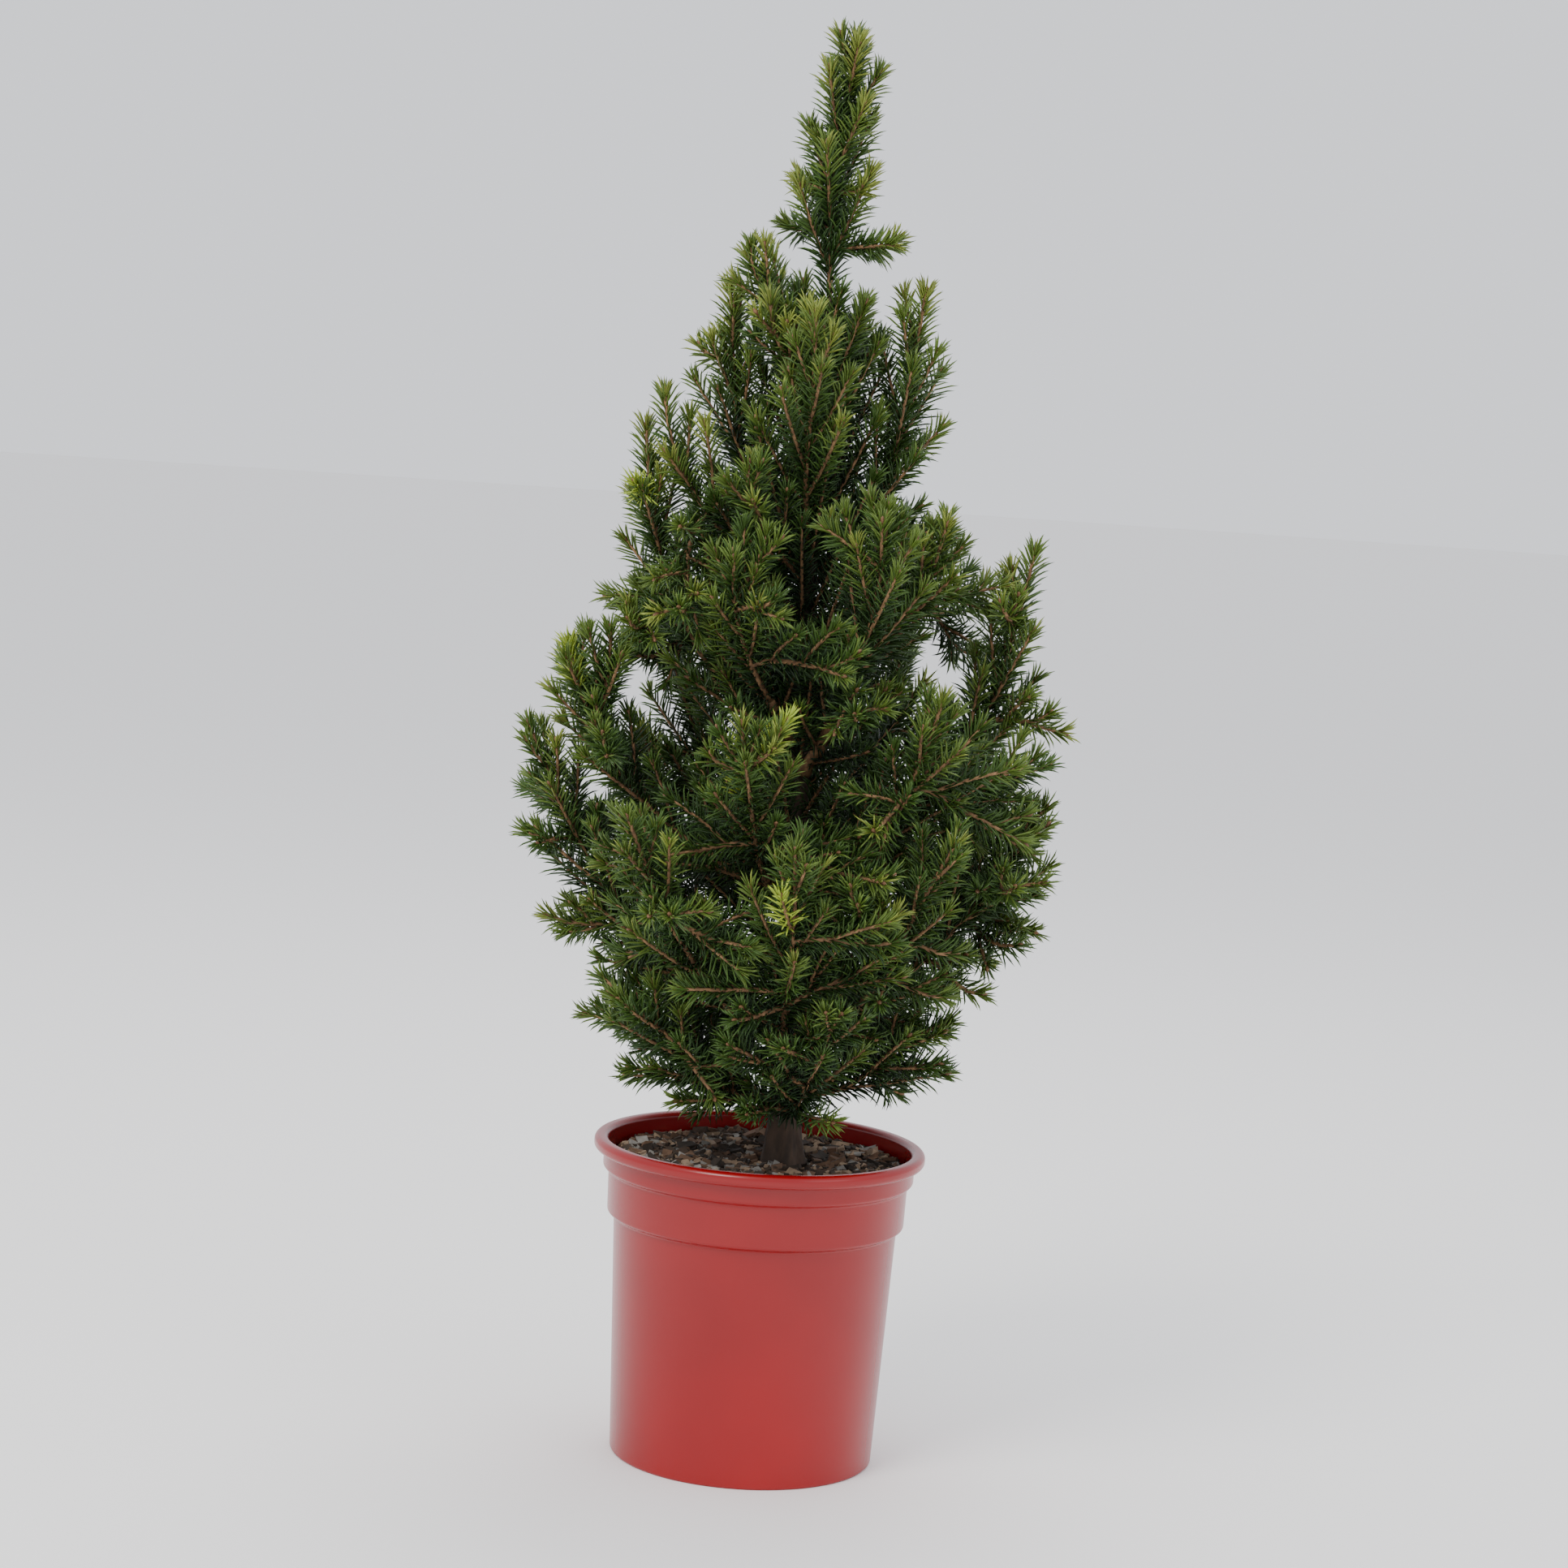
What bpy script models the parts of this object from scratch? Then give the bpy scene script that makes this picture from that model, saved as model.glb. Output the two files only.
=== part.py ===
"""A young dwarf spruce in a round nursery pot.

Units are metres, +Z is up, and the origin is the middle of the pot's flat underside. The trunk
leaves the soil a little to one side of the pot's middle. Boughs leave the trunk and curve
upwards, and each one ends in a mass: one stem that goes on from the bough, side shoots that
branch from it, and sprays of needles drawn out of the shoots. High and very low masses grow
straight from the trunk.
"""
import math
import random
from collections import namedtuple

import bmesh
import bpy
from mathutils import Vector
from mathutils.kdtree import KDTree

GAP = 0.0003  # clear space between two pieces that touch
SEED = 11

# Pot: radii of the outer wall from the foot up, and the heights where the wall steps
POT_HEIGHT = 0.140
POT_SIDES = 36
POT_WALL = 0.0018
FOOT_RADIUS = 0.058
WALL_TOP_RADIUS = 0.0625
WALL_TOP = 0.105
BAND_RADIUS = 0.066
BAND_TOP = 0.125
COLLAR_RADIUS = 0.0685
RIM_UNDERSIDE = 0.134
RIM_RADIUS = 0.073
STEP_RISE = 0.0015

# Soil: a plug that fills the pot, with a lumpy top that is level round the trunk's foot
SOIL_TOP = 0.131
SOIL_SIDES = 20
SOIL_LUMP = 0.0014
LEVEL_RADIUS = 0.025
SOIL_RINGS = (0.036, 0.047, 0.057)

# Trunk: height, sideways place and radius at each station up to the leader's tip
TRUNK_STATIONS = (
    (0.1313, 0.0100, 0.0000, 0.0088),
    (0.1500, 0.0097, 0.0003, 0.0071),
    (0.2000, 0.0088, 0.0010, 0.0064),
    (0.2800, 0.0065, 0.0015, 0.0055),
    (0.3600, 0.0042, 0.0005, 0.0046),
    (0.4400, 0.0040, -0.0010, 0.0036),
    (0.5100, 0.0058, -0.0005, 0.0026),
    (0.5550, 0.0032, 0.0005, 0.0020),
    (0.5900, 0.0074, 0.0010, 0.0016),
    (0.6200, 0.0098, 0.0005, 0.0012),
)
TRUNK_FOOT = SOIL_TOP + GAP
TRUNK_TOP = 0.510
TRUNK_SIDES = 10
TRUNK_STEP = 0.019
FLARE = 0.30
FLARE_LOBES = 5
FLARE_HEIGHT = 0.016

# Crown: how far the shoots' tips stand from the trunk's axis at each height
CROWN = (
    (0.150, 0.048),
    (0.172, 0.076),
    (0.200, 0.092),
    (0.225, 0.106),
    (0.250, 0.114),
    (0.285, 0.119),
    (0.320, 0.116),
    (0.350, 0.105),
    (0.380, 0.094),
    (0.410, 0.082),
    (0.440, 0.068),
    (0.470, 0.058),
    (0.495, 0.047),
    (0.520, 0.038),
    (0.545, 0.026),
    (0.565, 0.014),
)

# Limbs: the direction each leaves the trunk in (degrees from +X towards +Y), the height of its
# root, its tip's reach from the trunk's axis and height, and how many side shoots it carries
Limb = namedtuple("Limb", "name heading root reach top sides")
BOUGHS = (
    Limb("left_tall", 189, 0.315, 0.075, 0.455, 3),
    Limb("front_left_tall", 244, 0.318, 0.073, 0.405, 3),
    Limb("front_right_tall", 297, 0.305, 0.070, 0.428, 2),
    Limb("right_tall", 333, 0.335, 0.065, 0.425, 1),
    Limb("back_right_tall", 42, 0.328, 0.074, 0.418, 2),
    Limb("back_left_tall", 127, 0.322, 0.073, 0.426, 3),
    Limb("right_broad", 3, 0.255, 0.099, 0.412, 3),
    Limb("left_broad", 191, 0.250, 0.104, 0.360, 3),
    Limb("front_broad", 256, 0.246, 0.100, 0.336, 4),
    Limb("front_right_broad", 308, 0.252, 0.097, 0.350, 3),
    Limb("back_right_broad", 62, 0.250, 0.101, 0.366, 3),
    Limb("back_left_broad", 122, 0.243, 0.105, 0.356, 3),
    Limb("left_wide", 184, 0.196, 0.120, 0.323, 4),
    Limb("front_left_wide", 232, 0.190, 0.116, 0.293, 4),
    Limb("front_wide", 270, 0.182, 0.119, 0.287, 4),
    Limb("front_right_wide", 309, 0.191, 0.109, 0.290, 4),
    Limb("right_wide", 350, 0.198, 0.112, 0.302, 4),
    Limb("back_right_wide", 33, 0.192, 0.114, 0.299, 4),
    Limb("back_wide", 82, 0.186, 0.118, 0.288, 4),
    Limb("back_left_wide", 136, 0.194, 0.117, 0.303, 4),
)
TRUNK_SHOOTS = (
    Limb("high_left", 198, 0.482, 0.036, 0.535, 0),
    Limb("high_front", 226, 0.466, 0.036, 0.511, 0),
    Limb("high_back_right", 60, 0.462, 0.036, 0.503, 1),
    Limb("high_back_left", 130, 0.472, 0.035, 0.522, 1),
    Limb("front_high", 263, 0.405, 0.042, 0.507, 0),
    Limb("front_left_high", 240, 0.385, 0.056, 0.442, 0),
    Limb("right_high", 7, 0.392, 0.043, 0.521, 2),
    Limb("left_high", 169, 0.396, 0.044, 0.517, 1),
    Limb("left_mid", 197, 0.374, 0.070, 0.470, 1),
    Limb("back_high", 88, 0.384, 0.046, 0.500, 3),
    Limb("skirt_right", 338, 0.162, 0.080, 0.205, 3),
    Limb("skirt_front", 284, 0.156, 0.094, 0.215, 3),
    Limb("skirt_left", 218, 0.159, 0.096, 0.210, 4),
    Limb("skirt_back_left", 140, 0.157, 0.094, 0.212, 4),
    Limb("skirt_back_right", 50, 0.160, 0.092, 0.210, 4),
)
LEADER = Limb("leader", 0, TRUNK_TOP, 0.0, 0.620, 7)

# Side shoots that show by themselves: heading, reach and height of the tip, by limb
SIDE_TIPS = {
    "leader": (
        (180, 0.018, 0.565),
        (331, 0.017, 0.562),
        (158, 0.024, 0.545),
        (351, 0.032, 0.541),
        (70, 0.020, 0.553),
        (190, 0.012, 0.583),
        (320, 0.010, 0.591),
    ),
    "left_high": ((165, 0.059, 0.491),),
    "right_high": ((27, 0.055, 0.455),),
    "left_tall": ((200, 0.082, 0.430),),
    "front_left_tall": ((254, 0.062, 0.414), (262, 0.081, 0.387)),
    "front_right_tall": ((276, 0.063, 0.421),),
    "right_broad": ((346, 0.086, 0.389), (8, 0.104, 0.348), (353, 0.112, 0.342)),
    "left_broad": ((178, 0.106, 0.352), (201, 0.089, 0.368)),
    "front_broad": ((266, 0.108, 0.334), (246, 0.096, 0.322)),
    "left_wide": ((171, 0.118, 0.288), (188, 0.122, 0.275), (184, 0.112, 0.237)),
    "right_wide": ((349, 0.110, 0.262),),
    "skirt_left": ((205, 0.094, 0.217), (192, 0.075, 0.173)),
    "skirt_right": ((328, 0.048, 0.158), (344, 0.074, 0.184)),
    "skirt_front": ((268, 0.083, 0.197), (250, 0.079, 0.196)),
}

# Shoots and their needles
BOUGH_SHARE = 0.30  # part of a limb's length that is bare bough
BOUGH_SIDES = 6
BOUGH_RINGS = 6
BOUGH_ROOT_RADIUS = 0.0028
BOUGH_END_RADIUS = 0.0020
BOUGH_SWELL = 1.25  # how much thicker a bough is where it leaves the trunk
STEM_RADIUS = 0.0023
TIP_RADIUS = 0.0017
SHOOT_SIDES = 3
BAND = 0.0140  # length of shoot that carries one ring of needles
NEEDLE = 0.0135
TUFT = 0.006  # how far the tip's needles stand past the end of the shoot
NEEDLE_ANGLE = math.radians(58)  # between a needle and its shoot
TIP_ANGLE = math.radians(34)
NEEDLE_SHARES = (1.0, 0.8, 0.6, 0.42)  # lengths tried where space is short
BUD = 0.0042
SPACE_MARGIN = 0.0012  # how far a needle stays from the border of its mass's space
LIMB_MARGIN = 0.0010
RIM_CLEARANCE = 0.0025
SHOOT_CLEARANCE = 0.0075  # least distance between the axes of two masses' shoots
SIBLING_CLEARANCE = 0.0060
SIBLING_FREE = 0.014  # length at a side shoot's root that may lie close to its stem
SAMPLE = 0.002
TRIES = 16
WAVER = 0.0018
MERGE = 0.00001  # corners closer than this become one after a union
ATTEMPTS = 8  # turns of the shoots tried until a mass joins into one sound body

WOOD = (0.115, 0.070, 0.045)
BOUGH_WOOD = (0.200, 0.105, 0.050)
FOLIAGE = (0.050, 0.120, 0.035)
POT_RED = (0.640, 0.020, 0.020)
SOIL = (0.130, 0.095, 0.065)


def new_material(name, color, roughness):
    material = bpy.data.materials.new(name)
    material.use_nodes = True
    shader = material.node_tree.nodes["Principled BSDF"]
    shader.inputs["Base Color"].default_value = (*color, 1.0)
    shader.inputs["Roughness"].default_value = roughness
    shader.inputs["Metallic"].default_value = 0.0
    return material


def new_object(name, bm, material, smooth=False):
    bmesh.ops.recalc_face_normals(bm, faces=bm.faces)
    mesh = bpy.data.meshes.new(name)
    bm.to_mesh(mesh)
    bm.free()
    if smooth:
        mesh.shade_smooth()
        mesh.set_sharp_from_angle(angle=math.radians(35))
    mesh.materials.append(material)
    obj = bpy.data.objects.new(name, mesh)
    bpy.context.scene.collection.objects.link(obj)
    return obj


def between(low, high, share):
    return low + (high - low) * share


def read_table(table, height, column=1):
    """The column's value at a height, read straight between the table's rows."""
    if height <= table[0][0]:
        return table[0][column]
    for below, above in zip(table, table[1:]):
        if height <= above[0]:
            share = (height - below[0]) / (above[0] - below[0])
            return between(below[column], above[column], share)
    return table[-1][column]


def trunk_axis(height):
    """The trunk's middle at a height, rounded between stations."""
    step = 0.012
    heights = (height - step, height, height + step)
    x = sum(read_table(TRUNK_STATIONS, h, 1) for h in heights) / len(heights)
    y = sum(read_table(TRUNK_STATIONS, h, 2) for h in heights) / len(heights)
    return Vector((x, y, height))


def trunk_radius(height):
    return read_table(TRUNK_STATIONS, height, 3)


def trunk_flare(height):
    """How much the root flare's lobes add to the trunk's radius at a height."""
    return FLARE * math.exp(-(height - TRUNK_FOOT) / FLARE_HEIGHT)


def trunk_girth(height):
    """The trunk's largest radius at a height."""
    return trunk_radius(height) * (1 + trunk_flare(height))


def turned(profile, sides):
    """A closed mesh turned round +Z from an open profile whose two ends are closed by flat discs."""
    bm = bmesh.new()
    rings = []
    for radius, height in profile:
        ring = []
        for k in range(sides):
            angle = 2 * math.pi * k / sides
            ring.append(bm.verts.new((radius * math.cos(angle), radius * math.sin(angle), height)))
        rings.append(ring)
    for low, high in zip(rings, rings[1:]):
        skin(bm, low, high)
    bm.faces.new(rings[0])
    bm.faces.new(rings[-1])
    return bm


def skin(bm, low, high):
    count = len(low)
    for k in range(count):
        bm.faces.new((low[k], low[(k + 1) % count], high[(k + 1) % count], high[k]))


def inner_wall():
    """Radius and height of the pot's inner wall, from the floor up to the rim."""
    return (
        (FOOT_RADIUS - POT_WALL, POT_WALL),
        (WALL_TOP_RADIUS - POT_WALL, WALL_TOP),
        (BAND_RADIUS - POT_WALL, WALL_TOP + STEP_RISE),
        (BAND_RADIUS - POT_WALL, BAND_TOP),
        (COLLAR_RADIUS - POT_WALL, BAND_TOP + STEP_RISE),
        (COLLAR_RADIUS - POT_WALL, POT_HEIGHT - STEP_RISE),
    )


def make_pot(material):
    lip = STEP_RISE
    outer = (
        (FOOT_RADIUS - lip / 2, 0.0),
        (FOOT_RADIUS, lip / 2),
        (WALL_TOP_RADIUS, WALL_TOP),
        (BAND_RADIUS - lip / 3, WALL_TOP + STEP_RISE),
        (BAND_RADIUS, BAND_TOP),
        (COLLAR_RADIUS, BAND_TOP + STEP_RISE),
        (COLLAR_RADIUS, RIM_UNDERSIDE),
        (RIM_RADIUS - lip, RIM_UNDERSIDE),
        (RIM_RADIUS, RIM_UNDERSIDE + lip),
        (RIM_RADIUS, POT_HEIGHT - lip),
        (RIM_RADIUS - lip, POT_HEIGHT),
        (COLLAR_RADIUS - POT_WALL + lip, POT_HEIGHT),
    )
    profile = outer + tuple(reversed(inner_wall()))
    return new_object("pot", turned(profile, POT_SIDES), material, smooth=True)


def make_soil(material):
    """The plug's side keeps clear of the pot's inner wall, and its top is lumpy past LEVEL_RADIUS."""
    draw = random.Random(SEED)
    wall = inner_wall()
    side = [(radius - 2 * GAP, height + GAP) for radius, height in wall[:-1]]
    side.append((wall[-1][0] - 2 * GAP, SOIL_TOP))
    shrink = math.cos(math.pi / POT_SIDES)  # the pot's flats lie inside its true circle
    top = [(radius, SOIL_TOP) for radius in reversed(SOIL_RINGS)]
    profile = [(radius * shrink, height) for radius, height in side] + top
    profile.append((LEVEL_RADIUS, SOIL_TOP))
    bm = turned(profile, SOIL_SIDES)
    for vert in bm.verts:
        radius = math.hypot(vert.co.x, vert.co.y)
        lump = draw.uniform(-SOIL_LUMP, SOIL_LUMP)
        if vert.co.z > SOIL_TOP - GAP and LEVEL_RADIUS + GAP < radius:
            vert.co.z += lump
    return new_object("soil", bm, material)


def make_trunk(material):
    bm = bmesh.new()
    count = round((TRUNK_TOP - TRUNK_FOOT) / TRUNK_STEP)
    rings = []
    for k in range(count + 1):
        # Rings stand closer together near the foot, where the flare is
        height = between(TRUNK_FOOT, TRUNK_TOP, (k / count) ** 1.35)
        middle = trunk_axis(height)
        flare = trunk_flare(height)
        ring = []
        for side in range(TRUNK_SIDES):
            angle = 2 * math.pi * side / TRUNK_SIDES
            lobe = 0.5 + 0.5 * math.cos(FLARE_LOBES * angle)
            radius = trunk_radius(height) * (1 + flare * lobe)
            offset = Vector((math.cos(angle), math.sin(angle), 0.0)) * radius
            ring.append(bm.verts.new(middle + offset))
        rings.append(ring)
    for low, high in zip(rings, rings[1:]):
        skin(bm, low, high)
    bm.faces.new(rings[0])
    bm.faces.new(rings[-1])
    return new_object("trunk", bm, material, smooth=True)


def heading_vector(degrees):
    angle = math.radians(degrees)
    return Vector((math.cos(angle), math.sin(angle), 0.0))


def climbing(outward, degrees):
    angle = math.radians(degrees)
    return outward * math.cos(angle) + Vector((0.0, 0.0, math.sin(angle)))


ROOT_CLIMB = ((0.16, 6.0), (0.21, 14.0), (0.27, 26.0), (0.35, 40.0), (0.45, 50.0))
TIP_CLIMB = ((0.17, 10.0), (0.21, 24.0), (0.25, 38.0), (0.30, 56.0), (0.35, 74.0), (0.43, 84.0))


def curved_path(start, leave, tip, arrive, draw):
    """Points a SAMPLE apart on a curve that leaves and arrives in given directions, with a waver."""
    span = (tip - start).length
    handle_a = start + leave * span * 0.40
    handle_b = tip - arrive * span * 0.38
    across = leave.cross(Vector((0.0, 0.0, 1.0)))
    across.normalize()
    sway = draw.uniform(-WAVER, WAVER)
    double = draw.uniform(-WAVER, WAVER)
    fine = []
    count = max(8, int(span / SAMPLE) * 2)
    for k in range(count + 1):
        t = k / count
        s = 1 - t
        point = start * s**3 + handle_a * 3 * s * s * t + handle_b * 3 * s * t * t + tip * t**3
        point += across * (sway * math.sin(math.pi * t) + double * math.sin(2 * math.pi * t))
        fine.append(point)
    return evenly(fine, SAMPLE)


def evenly(points, spacing):
    """The same line with equal steps of about the given spacing."""
    lengths = [0.0]
    for a, b in zip(points, points[1:]):
        lengths.append(lengths[-1] + (b - a).length)
    count = max(2, round(lengths[-1] / spacing))
    out = []
    segment = 0
    for k in range(count + 1):
        want = lengths[-1] * k / count
        while segment < len(points) - 2 and lengths[segment + 1] < want:
            segment += 1
        share = (want - lengths[segment]) / (lengths[segment + 1] - lengths[segment])
        out.append(points[segment].lerp(points[segment + 1], share))
    return out


class Shoot:
    """One needled shoot: the mass it belongs to and its line from root to tip."""

    def __init__(self, mass, points, flat_root=None):
        self.mass = mass
        self.points = points
        self.flat_root = flat_root


class Space:
    """Who owns which part of the crown: a point belongs to the mass whose shoot is nearest."""

    def __init__(self):
        self.samples = []
        self.owners = []
        self.tree = None

    def add(self, owner, points):
        self.samples += points
        self.owners += [owner] * len(points)
        self.tree = None

    def ready(self):
        if self.tree is None:
            self.tree = KDTree(len(self.samples))
            for index, point in enumerate(self.samples):
                self.tree.insert(point, index)
            self.tree.balance()

    def nearest(self, point, wanted):
        """Distance to the nearest sample whose owner passes the test."""
        self.ready()
        found = self.tree.find(point, filter=lambda index: wanted(self.owners[index]))
        return found[2] if found[0] is not None else 1.0


WOODY = "wood"  # owner of the samples of trunk and boughs


def limb_line(limb, draw):
    """The whole limb from the trunk's surface to its tip."""
    outward = heading_vector(limb.heading)
    foot = trunk_axis(limb.root)
    start = foot + outward * (trunk_girth(limb.root) + GAP)
    tip = trunk_axis(limb.top) + outward * limb.reach
    leave = climbing(outward, read_table(ROOT_CLIMB, limb.root))
    arrive = climbing(outward, read_table(TIP_CLIMB, limb.top))
    return curved_path(start, leave, tip - arrive * TUFT, arrive, draw)


def side_line(stem, share, heading, reach, top, draw):
    """A side shoot that leaves the stem at a share of its length and ends at the given tip."""
    index = min(len(stem) - 3, max(1, round(share * (len(stem) - 1))))
    start = stem[index]
    along = (stem[index + 1] - stem[index - 1]).normalized()
    tip = trunk_axis(top) + heading_vector(heading) * reach
    towards = (tip - start).normalized()
    leave = (along * 0.35 + towards).normalized()
    arrive = climbing(heading_vector(heading), read_table(TIP_CLIMB, top))
    arrive = (arrive + towards).normalized()
    return curved_path(start, leave, tip - arrive * TUFT, arrive, draw)


def score(line, mass, space):
    """How far a new side shoot stays from other masses and wood, and from its own mass."""
    free = round(SIBLING_FREE / SAMPLE)
    others = min(space.nearest(p, lambda owner: owner != mass) for p in line[3:])
    own = min(space.nearest(p, lambda owner: owner == mass) for p in line[free:] or line[-1:])
    return others, own


def room_for(line, mass, space):
    others, own = score(line, mass, space)
    if others < SHOOT_CLEARANCE or own < SIBLING_CLEARANCE:
        return 0.0
    return min(others, own * 1.3)


def named_side(limb, stem, tip, space, draw):
    """A side shoot to a tip given by SIDE_TIPS, from the place on the stem that has most room."""
    heading, reach, top = tip
    best = None
    best_room = 0.0
    for k in range(TRIES):
        share = between(0.02, 0.72, k / (TRIES - 1))
        if stem[round(share * (len(stem) - 1))].z > top - 0.006:
            break
        line = side_line(stem, share, heading, reach, top, draw)
        room = room_for(line, limb.name, space)
        if room > best_room:
            best = line
            best_room = room
    return best


def ruled_side(limb, stem, turn, space, draw):
    """A side shoot by the seeded rule: it swings out to one side and ends at the crown's outline."""
    best = None
    best_room = 0.0
    root = stem[0].z
    for _ in range(TRIES):
        share = draw.uniform(0.02, 0.60)
        top = between(root, limb.top, draw.uniform(0.00, 0.84))
        heading = limb.heading + turn * draw.uniform(10, 46)
        reach = read_table(CROWN, top) * draw.uniform(0.78, 1.0)
        line = side_line(stem, share, heading, reach, top, draw)
        length = (line[-1] - line[0]).length
        room = room_for(line, limb.name, space) if length > 0.020 else 0.0
        if room > best_room:
            best = line
            best_room = room
    return best


def plan_tree():
    """Every bough's line and every mass's shoots, all clear of each other."""
    space = Space()
    trunk_line = [trunk_axis(between(TRUNK_FOOT, TRUNK_TOP, k / 190)) for k in range(191)]
    space.add(WOODY, trunk_line)
    boughs = {}
    masses = {}
    stems = {}
    for index, limb in enumerate((LEADER,) + TRUNK_SHOOTS + BOUGHS):
        draw = random.Random(SEED * 1000 + index)
        if limb is LEADER:
            low = limb.root + GAP
            stem = [trunk_axis(between(low, limb.top, k / 54)) for k in range(55)]
            flat_root = Vector((0.0, 0.0, 1.0))
        else:
            stem = limb_line(limb, draw)
            flat_root = heading_vector(limb.heading)
        if limb in BOUGHS:
            cut = round(BOUGH_SHARE * (len(stem) - 1))
            boughs[limb.name] = stem[: cut + 1]
            space.add(WOODY, boughs[limb.name])
            along = (stem[cut + 1] - stem[cut]).normalized()
            stem = [stem[cut] + along * GAP] + stem[cut + 1 :]
            flat_root = along
        stems[limb.name] = stem
        masses[limb.name] = [Shoot(limb.name, stem, flat_root)]
        space.add(limb.name, stem)
    limbs = (LEADER,) + TRUNK_SHOOTS + BOUGHS
    for index, limb in enumerate(limbs):
        draw = random.Random(SEED * 2000 + index)
        for tip in SIDE_TIPS.get(limb.name, ()):
            line = named_side(limb, stems[limb.name], tip, space, draw)
            if line:
                masses[limb.name].append(Shoot(limb.name, line))
                space.add(limb.name, line)
    for turn in range(max(limb.sides for limb in limbs)):
        for index, limb in enumerate(limbs):
            if limb is LEADER or turn >= limb.sides - len(SIDE_TIPS.get(limb.name, ())):
                continue
            draw = random.Random(SEED * 3000 + index * 17 + turn)
            side = 1 if (turn + index) % 2 else -1
            line = ruled_side(limb, stems[limb.name], side, space, draw)
            line = line or ruled_side(limb, stems[limb.name], -side, space, draw)
            if line:
                masses[limb.name].append(Shoot(limb.name, line))
                space.add(limb.name, line)
    return boughs, masses, space


def frames_along(points):
    """A direction and two sideways vectors at each point, turned as little as possible."""
    frames = []
    across = None
    for k, point in enumerate(points):
        ahead = points[min(k + 1, len(points) - 1)] - points[max(k - 1, 0)]
        ahead.normalize()
        if across is None:
            helper = Vector((1, 0, 0)) if abs(ahead.x) < 0.7 else Vector((0, 1, 0))
            across = ahead.cross(helper).normalized()
        else:
            across = (across - ahead * across.dot(ahead)).normalized()
        frames.append((ahead, across, ahead.cross(across)))
    return frames


def ring_round(bm, middle, across, up, radius, sides, turn=0.0):
    ring = []
    for k in range(sides):
        angle = 2 * math.pi * k / sides + turn
        offset = across * (radius * math.cos(angle)) + up * (radius * math.sin(angle))
        ring.append(bm.verts.new(middle + offset))
    return ring


def make_bough(name, line, material):
    """A tapering limb. Its root is cut upright, against the trunk, and its end square."""
    bm = bmesh.new()
    picks = [round(k * (len(line) - 1) / (BOUGH_RINGS - 1)) for k in range(BOUGH_RINGS)]
    frames = frames_along(line)
    rings = []
    for step, pick in enumerate(picks):
        share = step / (BOUGH_RINGS - 1)
        ahead, across, up = frames[pick]
        swell = between(BOUGH_SWELL, 1.0, min(1.0, step / 2))
        radius = between(BOUGH_ROOT_RADIUS, BOUGH_END_RADIUS, share) * swell
        if step == 0:
            outward = Vector((ahead.x, ahead.y, 0.0)).normalized()
            up = (up - outward * up.dot(outward)).normalized()
            across = (across - outward * across.dot(outward)).normalized()
        rings.append(ring_round(bm, line[pick], across, up, radius, BOUGH_SIDES))
    for low, high in zip(rings, rings[1:]):
        skin(bm, low, high)
    bm.faces.new(rings[0])
    bm.faces.new(rings[-1])
    return new_object("bough_" + name, bm, material, smooth=True)


def in_own_space(point, mass, space):
    """True where a needle's point lies in its mass's space, clear of wood and of the pot."""
    if point.z < POT_HEIGHT + RIM_CLEARANCE:
        return False
    own = space.nearest(point, lambda owner: owner == mass)
    other = space.nearest(point, lambda owner: owner not in (mass, WOODY))
    if own + SPACE_MARGIN > other - SPACE_MARGIN:
        return False
    wood = space.nearest(point, lambda owner: owner == WOODY)
    near_trunk = (point - trunk_axis(point.z)).length < 0.02
    thick = trunk_girth(point.z) if near_trunk else BOUGH_ROOT_RADIUS * BOUGH_SWELL
    return wood > thick + LIMB_MARGIN


def draw_needle(bm, corners, axis_point, ahead, angle, mass, space):
    """Draws a needle out of one face of the shoot, as long as its space allows."""
    middle = (corners[0].co + corners[1].co + corners[2].co) / 3
    outward = middle - axis_point
    outward -= ahead * outward.dot(ahead)
    outward.normalize()
    direction = outward * math.sin(angle) + ahead * math.cos(angle)
    for share in NEEDLE_SHARES:
        point = middle + direction * NEEDLE * share
        half = middle.lerp(point, 0.55)
        if in_own_space(point, mass, space) and in_own_space(half, mass, space):
            tip = bm.verts.new(point)
            for a, b in ((0, 1), (1, 2), (2, 0)):
                bm.faces.new((corners[a], corners[b], tip))
            return
    bm.faces.new(corners)


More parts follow.
